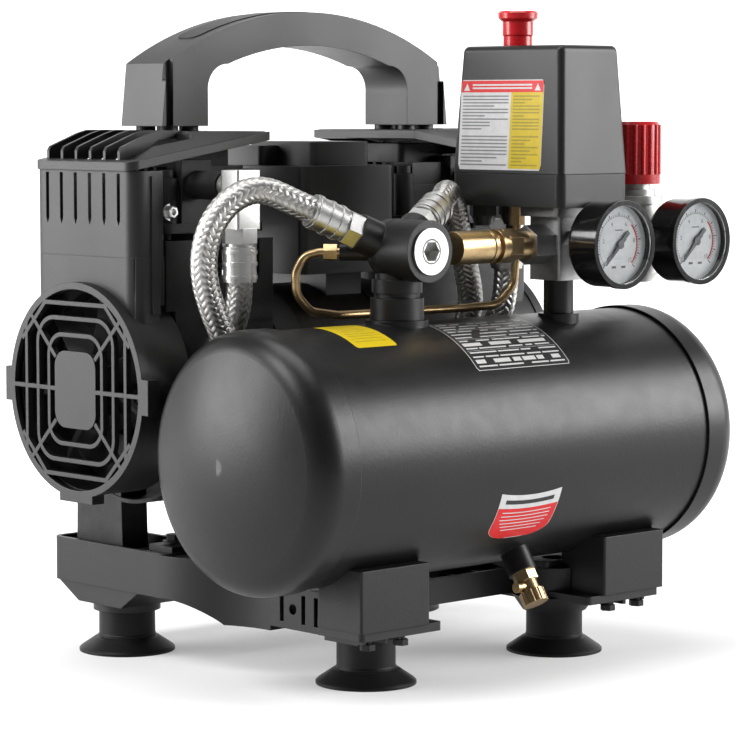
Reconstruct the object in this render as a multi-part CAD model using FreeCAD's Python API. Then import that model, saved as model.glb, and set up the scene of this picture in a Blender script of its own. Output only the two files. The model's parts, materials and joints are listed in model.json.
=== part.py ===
import FreeCAD, Part
import math
import os
from FreeCAD import Vector as V

# Airbrush compressor: a steel air tank in front of a twin-cylinder oil-free pump on a plastic base.
# Bench frame used below, in mm: x from the middle of the tank, y from the tank axis towards the pump,
# z from the floor. Every piece moves by BACK when it is written, which puts the origin under the middle.

# tank
TANK_R = 75.0
TANK_Z = 135.3
TANK_WALL = 2.2
SEAM_X = 146.5
CAP_FLANGE = 13.0
CAP_DEPTH = 28.0
CAP_KNUCKLE = 18.0
CAP_R = TANK_R + 1.6
RISER_X = 75.0
RISER_Y = -15.0
VALVE_X = -47.6
DRAIN_X = 12.0
DRAIN_ANGLE = math.radians(58)

# base and feet
FOOT_R = 29.8
FOOT_NECK_R = 17.5
FOOT_H = 26.0
FRONT_FOOT = (80.0, -8.0)
REAR_FOOT = (115.0, 174.0)
WALL = 3.0
TRAY = (142.0, 90.0, 102.0, 216.0)
TRAY_TOP = 70.0
TRAY_FLOOR = 46.0
RAIL_IN = 106.0
RAIL_OUT = 118.0
BRACKET = (74.0, 128.0, -56.0, -19.0)
BRACKET_Z = (40.0, 76.0)
MOUNT_X = 123.0
MOUNT_Y = (118.0, 192.0)
MOUNT_R = 9.0

# pump
PUMP_Y = 148.0
PUMP_Z = 168.0
STATOR_R = 58.0
STATOR_HALF = 36.0
ROTOR_R = 31.0
SHAFT_R = 6.0
BEARING_R = 14.0
BEARING_W = 9.0
CASE_R = 42.0
SKIN_R = 72.0
SKIN_X = (-134.0, -57.0)
SKIN_Y = 101.0
CYL_X = 92.0
BORE_R = 22.5
STROKE = 10.0
CRANK_THROW = STROKE / 2
ECCENTRIC_R = 13.0
HEAD_Z = (262.0, 302.0)
GUARD_X = 174.0
GUARD_R = 65.0
TAB_REACH = 70.0
HOUSING_X = (148.0, 167.0)
HOUSING_Y = (99.0, 197.0)
PARTING_Z = 248.7
LID_Z = 323.0

# top gear
HANDLE_HALF = 120.0
HANDLE_Y = (130.0, 170.0)
HANDLE_Z = (326.0, 364.0, 397.0)
GRIP_GAP = (84.0, 375.0)
SWITCH = (45.0, 105.0, -45.0, 49.0)
SWITCH_Z = (277.0, 297.0, 375.0)
KNOB_POS = (72.0, 18.0)
MANIFOLD_Z = 254.0
REGULATOR_X = 145.0
GAUGE_R = 26.0
GAUGE_Y = -70.0
GAUGE_DEPTH = 24.5
HOSE_R = 7.9
TUBE_R = 2.6
LEAD_R = 3.5

RUN_FIT = 0.06
BACK = (CAP_R - PUMP_Y - TAB_REACH) / 2

X = V(1, 0, 0)
Y = V(0, 1, 0)
Z = V(0, 0, 1)


# ---------- helpers ----------

def box(x0, x1, y0, y1, z0, z1):
    """A block between the given coordinates, in either order."""
    low = V(min(x0, x1), min(y0, y1), min(z0, z1))
    return Part.makeBox(abs(x1 - x0), abs(y1 - y0), abs(z1 - z0), low)


def rod(start, direction, radius, length):
    return Part.makeCylinder(radius, length, start, direction)


def ring(start, direction, outer, inner, length):
    return rod(start, direction, outer, length).cut(rod(start - direction, direction, inner, length + 2))


def cone(start, direction, r0, r1, length):
    return Part.makeCone(r0, r1, length, start, direction)


def prism(points, sweep):
    """A straight-sided solid from a closed outline of points."""
    face = Part.Face(Part.makePolygon([V(*p) for p in points] + [V(*points[0])]))
    return face.extrude(sweep)


def hexagon(centre, direction, across_flats, length):
    """A hexagonal bar that starts at centre."""
    corner = across_flats / math.sqrt(3)
    turn = FreeCAD.Rotation(Z, direction)
    angles = [k * math.pi / 3 for k in range(6)]
    points = [centre + turn.multVec(V(corner * math.cos(a), corner * math.sin(a), 0)) for a in angles]
    return Part.Face(Part.makePolygon(points + [points[0]])).extrude(direction * length)


def lathe(profile, axis_point, axis):
    """Turns a closed outline, given as (distance from axis, distance along axis), about the axis."""
    turn = FreeCAD.Rotation(Z, axis)
    points = [axis_point + turn.multVec(V(r, 0, h)) for r, h in profile]
    return Part.Face(Part.makePolygon(points + [points[0]])).revolve(axis_point, axis, 360)


def fuse(pieces):
    return pieces[0].multiFuse(pieces[1:]).removeSplitter()


def cut(body, tools):
    return body.cut(Part.makeCompound(tools))


def mirrored(shape):
    """The right-hand copy of a left-hand piece."""
    return shape.mirror(V(0, 0, 0), X)


def rounded(shape, radius, choose):
    """Rounds the edges whose middle passes the test."""
    edges = [e for e in shape.Edges if choose(e, e.valueAt((e.FirstParameter + e.LastParameter) / 2))]
    return shape.makeFillet(radius, edges)


def upright(edge, _middle):
    """True for a straight vertical edge."""
    ends = edge.Vertexes
    return len(ends) == 2 and abs(ends[0].X - ends[1].X) + abs(ends[0].Y - ends[1].Y) < 0.01


def tube_path(points, full=None):
    """Straight runs joined by tangent arcs, each as large as its two runs allow, or full where given."""
    points = [V(*p) for p in points]
    edges = []
    radii = []
    last = points[0]
    for a, b, c in zip(points, points[1:], points[2:]):
        u = (b - a).normalize()
        w = (c - b).normalize()
        turn = math.acos(max(-1, min(1, u.dot(w))))
        radius = 0.45 * min((b - a).Length, (c - b).Length) / math.tan(turn / 2)
        radius = min(radius, full) if full else radius
        back = radius * math.tan(turn / 2)
        start = b - u * back
        end = b + w * back
        inward = (w - u).normalize()
        middle = b + inward * (radius / math.cos(turn / 2) - radius)
        edges.append(Part.LineSegment(last, start).toShape())
        edges.append(Part.Arc(start, middle, end).toShape())
        radii.append(round(radius, 1))
        last = end
    edges.append(Part.LineSegment(last, points[-1]).toShape())
    return Part.Wire(edges), radii


def tube(name, points, radius, full=None):
    """A solid round tube along a path; prints its bend radii and tests its volume."""
    path, radii = tube_path(points, full)
    start = V(*points[0])
    heading = (V(*points[1]) - start).normalize()
    ring_edge = Part.Wire([Part.makeCircle(radius, start, heading)])
    solid = path.makePipeShell([ring_edge], True, False)
    expected = math.pi * radius * radius * path.Length
    print(f"{name}: length {path.Length:.0f}, radii {radii}, volume ratio {solid.Volume / expected:.3f}")
    return solid


# ---------- tank ----------

def drain_way():
    """The direction in which the drain leaves the tank, down and to the front."""
    return V(0, -math.cos(DRAIN_ANGLE), -math.sin(DRAIN_ANGLE))


def on_drain(distance):
    return V(DRAIN_X, 0, TANK_Z) + drain_way() * distance


def make_tank_shell():
    half = SEAM_X + CAP_FLANGE - 3
    shell = ring(V(-half, 0, TANK_Z), X, TANK_R, TANK_R - TANK_WALL, 2 * half)
    drain = rod(on_drain(TANK_R - 3), drain_way(), 8.8, 17)
    riser_top = V(RISER_X, RISER_Y, TANK_Z + TANK_R - 6)
    riser = rod(riser_top, Z, 12.5, 7)
    inlet = rod(V(VALVE_X, 0, TANK_Z + TANK_R - 3), Z, 18.5, 5)
    inside = rod(V(-half, 0, TANK_Z), X, TANK_R - TANK_WALL, 2 * half)
    shell = fuse([shell] + [piece.cut(inside) for piece in (drain, riser, inlet)])
    holes = [rod(on_drain(TANK_R - 8), drain_way(), 4.5, 30),
             rod(riser_top - Z * 4, Z, 6.0, 20),
             rod(V(VALVE_X, 0, TANK_Z + TANK_R - 8), Z, 8.0, 20)]
    return cut(shell, holes)


def make_tank_cap():
    """A dished end whose flange fits over the shell: a wide crown arc and a knuckle arc."""
    def dish(radius, depth, knuckle):
        """Crown and knuckle arcs from the flange to the pole, as edges."""
        crown = ((radius - knuckle) ** 2 + depth ** 2 - knuckle ** 2) / (2 * (depth - knuckle))
        centre = edge - depth + crown
        lean = math.atan2(radius - knuckle, centre - edge)
        joint = (edge - knuckle * math.cos(lean), radius - knuckle + knuckle * math.sin(lean))
        half = (math.pi / 2 + lean) / 2
        bend = (edge - knuckle * math.cos(half), radius - knuckle + knuckle * math.sin(half))
        bow = (centre - crown * math.cos(lean / 2), crown * math.sin(lean / 2))
        stations = [(edge, radius), bend, joint, bow, (edge - depth, 0)]
        points = [V(x, 0, r) for x, r in stations]
        return [Part.Arc(points[0], points[1], points[2]).toShape(),
                Part.Arc(points[2], points[3], points[4]).toShape()]
    seam = -SEAM_X
    edge = -(SEAM_X + CAP_FLANGE)
    outer = dish(CAP_R, CAP_DEPTH, CAP_KNUCKLE)
    inner = dish(TANK_R, CAP_DEPTH - 2.4, CAP_KNUCKLE - 2.0)
    lines = [((edge, CAP_R), (seam, CAP_R)),
             ((seam, CAP_R), (seam, TANK_R)),
             ((seam, TANK_R), (edge, TANK_R)),
             ((edge - CAP_DEPTH + 2.4, 0), (edge - CAP_DEPTH, 0))]
    straight = [Part.LineSegment(V(a[0], 0, a[1]), V(b[0], 0, b[1])).toShape() for a, b in lines]
    outline = Part.Wire(Part.__sortEdges__(outer + inner + straight))
    cap = Part.Face(outline).revolve(V(0, 0, 0), X, 360)
    cap.translate(V(0, 0, TANK_Z))
    return cap


def tank_body(extra=0.0):
    """The tank's outside as a solid, for cutting what stands against it."""
    return rod(V(-SEAM_X, 0, TANK_Z), X, TANK_R + extra, 2 * SEAM_X)


def make_tank_bracket():
    """A folded steel box, open below, whose top meets the tank."""
    x0, x1, y0, y1 = BRACKET
    z0, z1 = BRACKET_Z
    plate = 2.5
    shell = box(-x1, -x0, y0, y1, z0, z1)
    shell = rounded(shell, 1.5, upright)
    shell = shell.cut(box(-x1 + plate, -x0 - plate, y0 + plate, y1 - plate, z0 - 1, z1 - plate))
    lip = box(-x1 + 1, -x0 - 1, y0 + plate, y0 + 16, z0, z0 + plate)
    shell = fuse([shell, lip])
    holes = [rod(V(-x, y0 + 10, z0 - 1), Z, 2.7, 5) for x in (x0 + 14, x1 - 14)]
    return cut(shell, [tank_body()] + holes)


def make_bracket_screws():
    """Four screws that come up through the base into the lips of the tank brackets."""
    x0, x1, y0, _ = BRACKET
    z0 = BRACKET_Z[0]
    screws = []
    for x in (-x1 + 14, -x0 - 14, x0 + 14, x1 - 14):
        foot = V(x, y0 + 10, z0 - 8)
        head = hexagon(foot - Z * 3.5, Z, 8, 3.5)
        nut = hexagon(V(x, y0 + 10, z0 + 2.5), Z, 8, 4)
        screws.append(fuse([head, rod(foot, Z, 2.5, 16), nut]))
    return Part.makeCompound(screws)


# ---------- feet and base ----------

def foot_places():
    fx, fy = FRONT_FOOT
    rx, ry = REAR_FOOT
    return [(-fx, fy), (fx, fy), (-rx, ry), (rx, ry)]


def make_suction_feet():
    """Four rubber cups: a flat rim on the floor, a hollow under it, a cone and a neck with a small lip."""
    r = FOOT_R
    n = FOOT_NECK_R
    profile = [(3.3, 6), (r - 9, 3), (r - 5, 0), (r, 0), (r, 1.6), (r - 1, 2.6), (n + 2.5, 8.6),
               (n + 0.4, 9.2), (n + 0.4, 10.4), (n, 11), (n, FOOT_H), (3.3, FOOT_H)]
    return Part.makeCompound([lathe(profile, V(x, y, 0), Z) for x, y in foot_places()])


def make_foot_bolts():
    bolts = []
    for x, y in foot_places():
        top = TRAY_FLOOR if y > 0 else BRACKET_Z[0] - 4
        head = hexagon(V(x, y, top), Z, 10, 4.5)
        bolts.append(fuse([rod(V(x, y, 7), Z, 3.0, top - 7 + 1), head]))
    return Part.makeCompound(bolts)


def s_bend(start, end):
    """Two equal arcs at the height of the rail's foot that leave start and reach end along y."""
    half_x = (end[0] - start[0]) / 2
    half_y = (end[1] - start[1]) / 2
    radius = (half_x ** 2 + half_y ** 2) / (2 * abs(half_x))
    swing = math.asin(abs(half_y) / radius) / 2
    step_x = math.copysign(radius * (1 - math.cos(swing)), half_x)
    step_y = math.copysign(radius * math.sin(swing), half_y)
    a, b = V(*start, 30), V(*end, 30)
    middle = (a + b) / 2
    return [Part.Arc(a, a + V(step_x, step_y, 0), middle).toShape(),
            Part.Arc(middle, b - V(step_x, step_y, 0), b).toShape()]


def half_base():
    """The left half of the base: tray, rail, front block and its pads."""
    x_out, x_in, y_front, y_back = TRAY
    fx, fy = FRONT_FOOT
    rx, ry = REAR_FOOT
    bx0, bx1, by0, by1 = BRACKET
    ledge = BRACKET_Z[0]

    tray = rounded(box(-x_out, -x_in, y_front, y_back, TRAY_FLOOR - WALL, TRAY_TOP), 8, upright)
    room = box(-x_out + WALL, -x_in - WALL, y_front + WALL, y_back - WALL, TRAY_FLOOR, TRAY_TOP + 1)
    tray = tray.cut(rounded(room, 5, upright))
    keel_side = [(y_back - 3, TRAY_FLOOR - WALL), (y_front + 30, TRAY_FLOOR - WALL),
                 (ry - 24, FOOT_H + 5), (ry + 18, FOOT_H + 5)]
    keel = prism([(-x_out + 3, y, z) for y, z in keel_side], V(x_out - x_in - 6, 0, 0))
    socket = rod(V(-rx, ry, FOOT_H), Z, 21, 12)
    seats = [rod(V(-MOUNT_X, y, TRAY_FLOOR - 1), Z, 12, 4) for y in MOUNT_Y]

    # the rail swings inwards from the tray to the front block in two equal bends, and sinks under the tank
    turn_in = s_bend((-x_out, y_front + 9), (-RAIL_OUT, 34))
    plan_inner = [(-RAIL_OUT, 34), (-RAIL_IN, 34), (-RAIL_IN, 62), (-112, 78), (-118, y_front + WALL),
                  (-x_out, y_front + 9)]
    inner_edge = Part.makePolygon([V(*point, 30) for point in plan_inner])
    rail = Part.Face(Part.Wire(turn_in + inner_edge.Edges)).extrude(V(0, 0, TRAY_TOP - 31))
    under = Part.makeCylinder(60, 60, V(-150, 104, TRAY_FLOOR - WALL - 60), X)
    over_side = [(30, 52), (52, 52), (82, 69), (82, 80), (30, 80)]
    over = prism([(-150, y, z) for y, z in over_side], V(60, 0, 0))
    rail = cut(rail, [under, over, room])

    # front block with an arched underside, a ledge for the tank bracket and a collar for the foot
    block = box(-118, -62, by1 + 0.4, 38, 33, 58)
    block = rounded(block, 3, upright)
    hollow = box(-118 + WALL, -62 - WALL, by1 + 0.4 + WALL, 38 - WALL, 30, 58 - WALL)
    pad = rounded(box(-bx1 + 2, -62, by0 + 2, by1 + 4, ledge - 5, ledge), 3, upright)
    collar = cone(V(-fx, fy, FOOT_H), Z, 20, 27, ledge - 4 - FOOT_H)
    column = rod(V(-fx, fy, FOOT_H + 2), Z, 21, 26)
    block = fuse([block.cut(hollow), pad, collar, column])
    ribs = [box(x - 1.2, x + 1.2, by0 + 8, by1 + 4, ledge - 9, ledge - 4) for x in (-118, -101, -90)]
    block = fuse([block] + ribs)

    half = fuse([tray, keel, socket, rail, block] + seats)

    cuts = [rod(V(-rx, ry, 0), Z, 3.3, 80), rod(V(-fx, fy, 0), Z, 3.3, 100)]
    cuts += [rod(V(-rx, ry, TRAY_FLOOR), Z, 8, 30), rod(V(-fx, fy, ledge - 4), Z, 8, 30)]
    cuts += [rod(V(-MOUNT_X, y, 30), Z, 2.7, 30) for y in MOUNT_Y]
    cuts += [rod(V(-MOUNT_X, y, 20), Z, 6.0, TRAY_FLOOR - WALL - 20) for y in MOUNT_Y]
    cuts.append(box(-bx1 - 1, -bx0 + 0.3, by0, by1 + 0.3, ledge, 90))
    cuts += [rod(V(-x, by0 + 10, 20), Z, 2.7, 30) for x in (bx0 + 14, bx1 - 14)]
    cuts += [hexagon(V(-x, by0 + 10, 20), Z, 11, ledge - 8 - 20) for x in (bx0 + 14, bx1 - 14)]
    cuts += [box(-119, -118 + WALL + 1, y, y + 3.4, 37, 54) for y in (-8, 3, 22)]
    cuts += [rod(V(-119, 14, 45), X, 3.2, 8)]
    cuts.append(tank_body(0.8))
    return cut(half, cuts)


def make_base_frame():
    left = half_base()
    x_out, x_in, y_front, y_back = TRAY

    def channel(y0, y1, z0, z1, half_length):
        """A cross member: a channel with ribs, open above."""
        beam = box(-half_length, half_length, y0, y1, z0, z1)
        beam = beam.cut(box(-half_length, half_length, y0 + WALL, y1 - WALL, z0 + WALL, z1 + 1))
        webs = [box(x - 1.2, x + 1.2, y0 + 1, y1 - 1, z0 + 1, z1 - 2)
                for x in (-60, -40, -20, 0, 20, 40, 60) if abs(x) < half_length - 5]
        return fuse([beam] + webs)

    front = channel(8, 32, 36, 52, 66)
    rear = channel(y_back - 20, y_back - 3, TRAY_FLOOR - WALL, 62, x_in + 1)
    middle = channel(y_front + 3, y_front + 22, TRAY_FLOOR - WALL, 60, x_in + 1)
    beams = cut(fuse([front, rear, middle]), [tank_body(0.8)])
    return fuse([left, mirrored(left), beams])


def mount_places():
    return [(side * MOUNT_X, y) for side in (-1, 1) for y in MOUNT_Y]


def make_rubber_mounts():
    """Four rubber dampers under the feet of the pump, each with a waist."""
    low = TRAY_FLOOR + 3
    r = MOUNT_R
    profile = [(2.6, low), (r, low), (r, low + 4), (r - 2, low + 6), (r - 2, low + 10), (r, low + 12),
               (r, low + 17), (2.6, low + 17)]
    return Part.makeCompound([lathe(profile, V(x, y, 0), Z) for x, y in mount_places()])


def make_mount_screws():
    low = TRAY_FLOOR + 3
    screws = []
    for x, y in mount_places():
        shank = rod(V(x, y, TRAY_FLOOR - WALL), Z, 2.4, 36)
        washer = rod(V(x, y, low + 25), Z, 6.5, 1.2)
        nut = hexagon(V(x, y, low + 26.2), Z, 8, 4)
        head = hexagon(V(x, y, TRAY_FLOOR - WALL - 3), Z, 8, 3)
        screws.append(fuse([shank, washer, nut, head]))
    return Part.makeCompound(screws)


# ---------- motor and pump ----------

def on_axis(x):
    """A point on the pump's shaft."""
    return V(x, PUMP_Y, PUMP_Z)


def make_motor_stator():
    """Laminated stack, with the inner slots that hold the windings."""
    half = STATOR_HALF
    stack = ring(on_axis(-half), X, STATOR_R, ROTOR_R + 0.6, 2 * half)
    slots = []
    low = PUMP_Z + ROTOR_R - 2
    for k in range(16):
        slot = box(-half - 1, half + 1, PUMP_Y - 2.5, PUMP_Y + 2.5, low, low + 14)
        slot.rotate(on_axis(0), X, 22.5 * k)
        slots.append(slot)
    return cut(stack, slots)


def make_motor_windings():
    """The copper end turns on each side of the stack."""
    profile = [(ROTOR_R + 3, 0), (ROTOR_R + 3, 6), (ROTOR_R + 6, 10), (ROTOR_R + 13, 10), (ROTOR_R + 16, 6),
               (ROTOR_R + 16, 0)]
    left = lathe(profile, on_axis(-STATOR_HALF), -X)
    return Part.makeCompound([left, mirrored(left)])


def make_rotor():
    core = ring(on_axis(-STATOR_HALF), X, ROTOR_R, SHAFT_R, 2 * STATOR_HALF)
    ends = [ring(on_axis(x), X, ROTOR_R - 3, ROTOR_R - 12, 5) for x in (-STATOR_HALF - 5, STATOR_HALF)]
    return fuse([core] + ends)


def make_crankshaft():
    """Shaft with an eccentric and a counterweight under each cylinder, thrown sideways by half a stroke."""
    shaft = rod(on_axis(-GUARD_X + 12), X, SHAFT_R, 2 * GUARD_X - 24)
    pieces = [shaft]
    for side in (-1, 1):
        x = side * CYL_X
        pieces.append(rod(on_axis(x - 6) + Y * side * CRANK_THROW, X, ECCENTRIC_R, 12))
        weight = rod(on_axis(x - side * 13 - 4), X, 26, 8)
        keep = box(x - 30, x + 30, PUMP_Y, PUMP_Y - side * 40, PUMP_Z - 40, PUMP_Z + 40)
        pieces.append(fuse([weight.common(keep), rod(on_axis(x - side * 13 - 4), X, 12, 8)]))
    return fuse(pieces)


def make_shaft_bearings():
    """Four ball bearings, one on each side of each crank."""
    races = []
    for x in (-CYL_X - 28, -CYL_X + 24, CYL_X - 24 - BEARING_W, CYL_X + 28 - BEARING_W):
        races.append(ring(on_axis(x), X, BEARING_R, SHAFT_R + RUN_FIT, BEARING_W))
    return Part.makeCompound(races)


def make_crankcase():
    """Left housing: end shield, crank room, cylinder seat, legs, and a duct skin below and in front."""
    inner_end = -STATOR_HALF
    room_out = -(CYL_X + 30)
    shield = ring(on_axis(inner_end - 16), X, STATOR_R + 1, STATOR_R - 4, 16)
    shield_wall = ring(on_axis(inner_end - 20), X, STATOR_R + 1, BEARING_R + 2, 4)
    barrel = ring(on_axis(room_out), X, CASE_R, CASE_R - 4, inner_end - 18 - room_out)
    end_wall = ring(on_axis(room_out), X, CASE_R, BEARING_R, 4)
    hubs = [ring(on_axis(room_out), X, BEARING_R + 4, BEARING_R, BEARING_W + 1),
            ring(on_axis(-CYL_X + 23), X, BEARING_R + 4, BEARING_R, BEARING_W + 4)]
    hub_wall = ring(on_axis(-CYL_X + 24), X, CASE_R - 2, BEARING_R, 4)
    seat = box(-CYL_X - 30, -CYL_X + 30, PUMP_Y - 30, PUMP_Y + 30, PUMP_Z + 20, 206)
    seat = rounded(seat, 6, upright)
    low = TRAY_FLOOR + 20
    front_y, rear_y = MOUNT_Y
    legs = [box(-MOUNT_X - 10, -MOUNT_X + 10, front_y - 11, front_y + 11, low, low + 7),
            box(-119, -110, 106, 117, low + 2, PUMP_Z - 22),
            prism([(-MOUNT_X - 10, y, z) for y, z in ((155, low), (rear_y + 9, low), (rear_y + 8, 118),
                                                     (rear_y, 132), (158, 140))], V(20, 0, 0))]
    skin = ring(on_axis(SKIN_X[0]), X, SKIN_R, SKIN_R - 2.5, SKIN_X[1] - SKIN_X[0])
    skin = skin.common(box(*SKIN_X, SKIN_Y, PUMP_Y + SKIN_R + 1, PUMP_Z - SKIN_R - 1, 150))
    skin_meets_wall = PUMP_Z - math.sqrt(SKIN_R ** 2 - (PUMP_Y - SKIN_Y) ** 2)
    front_wall = box(*SKIN_X, SKIN_Y, SKIN_Y + 2.5, skin_meets_wall, 258)
    front_wall = front_wall.fuse(box(SKIN_X[0] - 7, SKIN_X[0] + 1, SKIN_Y, SKIN_Y + 2.5, 216, 258))
    front_wall = front_wall.cut(box(-104, -68, SKIN_Y - 1, SKIN_Y + 4, 236, 259))
    stay = box(-CYL_X - 2, -CYL_X + 2, SKIN_Y + 1, PUMP_Y - 29, 190, 204)
    walls = [shield, shield_wall, barrel, end_wall, hub_wall, seat, skin, front_wall, stay]
    case = fuse(walls + hubs + legs)
    cuts = [rod(on_axis(room_out + 4), X, CASE_R - 4, -CYL_X + 24 - room_out - 4),
            rod(V(-CYL_X, PUMP_Y, PUMP_Z + 10), Z, BORE_R + 3.5, 60),
            rod(on_axis(room_out - 20), X, SHAFT_R + 3, 90),
            rod(on_axis(-CYL_X - 28), X, BEARING_R, BEARING_W),
            rod(on_axis(-CYL_X + 24), X, BEARING_R, BEARING_W)]
    for y in MOUNT_Y:
        cuts.append(rod(V(-MOUNT_X, y, 50), Z, 2.7, 60))
        cuts.append(rod(V(-MOUNT_X, y, TRAY_FLOOR + 28), Z, 7.5, 22))
    return cut(case, cuts)


def make_cylinder():
    """The liner, with a collar on the crankcase."""
    low = 204.0
    liner = ring(V(-CYL_X, PUMP_Y, low - 6), Z, BORE_R + 3.4, BORE_R, HEAD_Z[0] - low + 6)
    fins = [ring(V(-CYL_X, PUMP_Y, low + 9 + 9 * k), Z, 31, BORE_R + 1, 2.5) for k in range(5)]
    return fuse([liner] + fins)


def make_cylinder_head():
    """Valve plate, finned head, bolt columns, outlet port with its tower, and the intake filter box."""
    z0, z1 = HEAD_Z
    body = rounded(box(-138, -58, PUMP_Y - 42, PUMP_Y + 42, z0, z0 + 6), 6, upright)
    crown = rounded(box(-134, -62, PUMP_Y - 38, PUMP_Y + 38, z0 + 5, z1 - 14), 8, upright)
    fin_places = [PUMP_Y - 34 + 8.5 * k for k in range(9)]
    fins = [box(-132, -64, y - 1.5, y + 1.5, z1 - 15, z1) for y in fin_places]
    bosses = [rod(V(x, PUMP_Y + y, z0 + 5), Z, 6.5, z1 - z0 - 12) for x in (-129, -67) for y in (-33, 33)]
    port = rod(V(-ELBOW_X, ELBOW_Y + 13, PORT_Z), Y, 8.6, 34)
    tower = box(-ELBOW_X - 11.5, -ELBOW_X + 11.5, PUMP_Y - 41, PUMP_Y - 26, z0 + 4, z1 + 4)
    intake = rounded(box(-112, -72, PUMP_Y - 25, PUMP_Y + 30, z1 - 2, z1 + 12), 4, upright)
    head = fuse([body, crown, port, tower, intake] + fins + bosses)
    cuts = [rod(V(-ELBOW_X, ELBOW_Y + 12, PORT_Z), Y, 5.0, 44)]
    cuts += [rod(V(x, PUMP_Y + y, z0 - 1), Z, 2.6, 60) for x in (-129, -67) for y in (-33, 33)]
    cuts += [rod(V(x, PUMP_Y + y, z1 - 7), Z, 5.5, 20) for x in (-129, -67) for y in (-33, 33)]
    return cut(head, cuts)


def make_head_bolts():
    """Socket screws, four in each head."""
    bolts = []
    for side in (-1, 1):
        for x in (129, 67):
            for y in (-33, 33):
                foot = V(side * x, PUMP_Y + y, HEAD_Z[0] - 4)
                top = V(side * x, PUMP_Y + y, HEAD_Z[1] - 7)
                head = rod(top, Z, 4.4, 5).cut(hexagon(top + Z * 2, Z, 4, 4))
                bolts.append(fuse([rod(foot, Z, 2.4, HEAD_Z[1] - 7 - HEAD_Z[0] + 4), head]))
    return Part.makeCompound(bolts)


def make_piston(side):
    """Wobble piston at mid stroke: cup, rod and a big end with room for the whole orbit of the eccentric."""
    x = side * CYL_X
    eye_gap = ECCENTRIC_R + 2 * CRANK_THROW + 0.8
    eye = ring(on_axis(x - 4.5), X, eye_gap + 3.6, eye_gap, 9)
    top = HEAD_Z[0] - 2 - CRANK_THROW
    crown = rod(V(x, PUMP_Y, top - 8), Z, BORE_R - RUN_FIT, 8)
    stem = box(x - 4.5, x + 4.5, PUMP_Y - 7, PUMP_Y + 7, PUMP_Z + eye_gap + 1.5, top - 7)
    flare = cone(V(x, PUMP_Y, top - 20), Z, 6, 17, 13)
    return fuse([eye, stem, flare, crown])


def make_cooling_fans():
    """An axial fan on each end of the shaft: hub, collar and seven pitched blades."""
    pieces = [ring(on_axis(-GUARD_X + 14), X, 17, SHAFT_R, 14)]
    for k in range(7):
        blade = box(-1.1, 1.1, 14, GUARD_R - 9, -9, 9)
        blade.rotate(V(0, 0, 0), Y, 38)
        blade.rotate(V(0, 0, 0), X, 360 / 7 * k)
        blade.translate(on_axis(-GUARD_X + 21))
        pieces.append(blade.common(rod(on_axis(-GUARD_X + 13.5), X, GUARD_R - 9, 16)))
    left = fuse(pieces)
    return Part.makeCompound([left, mirrored(left)])


def make_fan_housing():
    """Drum round the fan with a holed back wall, joined to the closed lower part of the head shroud."""
    x_in, x_out = HOUSING_X
    y0, y1 = HOUSING_Y
    drum = rod(on_axis(-x_out - 1), X, GUARD_R - 0.8, x_out + 1 - x_in + 12)
    tower = rounded(box(-x_out, -x_in, y0, y1, PUMP_Z, PARTING_Z), 9,
                    lambda e, m: upright(e, m) and m.x < -x_in - 10)
    shape = fuse([drum, tower])
    flange = [box(-x_in, -x_in + 5, y, y + 4.5, PUMP_Z + 52, PARTING_Z) for y in (y0 + 1.5, y1 - 6)]
    strip = box(-x_in - 6, -x_in, y0 - 1.2, y0 + 1, 215, PARTING_Z)
    shape = fuse([shape, strip] + flange)
    hollow = rod(on_axis(-x_out - 3), X, GUARD_R - 4.2, x_out + 3 - x_in + 9.5)
    inside = box(-x_out + 2.5, -x_in - 2.5, y0 + 2.5, y1 - 2.5, PUMP_Z + 30, PARTING_Z + 1)
    return cut(shape, [hollow, inside, rod(on_axis(-x_in), X, 30, 40)])


def rounded_ring(half_y, half_z, radius, bar, depth):
    """A closed rounded-rectangle bar, standing across the shaft."""
    def plate(grow):
        piece = box(0, depth, -half_y - grow, half_y + grow, -half_z - grow, half_z + grow)
        return rounded(piece, radius + grow, lambda e, m: abs(m.x - depth / 2) < 0.01)
    return plate(bar / 2).cut(plate(-bar / 2))


def make_fan_guard():
    """Grille: rim with two side tabs, hub plate, two rounded rings, an outer octagon and short struts."""
    bar = 2.6
    depth = 3.5
    rim = ring(V(0, 0, 0), X, GUARD_R, GUARD_R - 4.2, 7)
    plate = rounded(box(0, depth, -20, 20, -23.3, 23.3), 10, lambda e, m: abs(m.x - depth / 2) < 0.01)
    rings = [rounded_ring(26, 33, 13, bar, depth), rounded_ring(37, 43, 16, bar, depth)]
    chords = []
    reach = GUARD_R - 2
    for y in (-48.5, 48.5):
        half = math.sqrt(reach ** 2 - 48.5 ** 2)
        chords.append(box(0, depth, y - bar / 2, y + bar / 2, -half, half))
    for z in (-52, 52):
        half = math.sqrt(reach ** 2 - 52 ** 2) - 4
        chords.append(box(0, depth, -half, half, z - bar / 2, z + bar / 2))
    for turn in (45, 135, 225, 315):
        strut = box(0, depth, -bar / 2, bar / 2, 27, GUARD_R - 1)
        strut.rotate(V(0, 0, 0), X, turn)
        chords.append(strut)
        diagonal = box(0, depth, -17, 17, 57.5 - bar / 2, 57.5 + bar / 2)
        diagonal.rotate(V(0, 0, 0), X, turn)
        chords.append(diagonal)
    chords += [box(0, depth, s * 20, s * (GUARD_R - 2), -bar / 2, bar / 2) for s in (-1, 1)]
    inside = rod(V(-1, 0, 0), X, GUARD_R - 1, 20)
    chords = [bar_piece.common(inside) for bar_piece in chords]
    tabs = [box(0, 9, s * (GUARD_R - 3), s * TAB_REACH, -10.5, 10.5) for s in (-1, 1)]
    foot_tab = box(0, 9, -16, 16, -GUARD_R - 3, -GUARD_R + 3)
    guard = fuse([rim, plate] + rings + chords + tabs + [foot_tab])
    guard = guard.cut(ring(V(3.2, 0, 0), X, GUARD_R - 0.6, GUARD_R - 4.3, 10))
    guard.translate(on_axis(-GUARD_X))
    return guard


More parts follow.
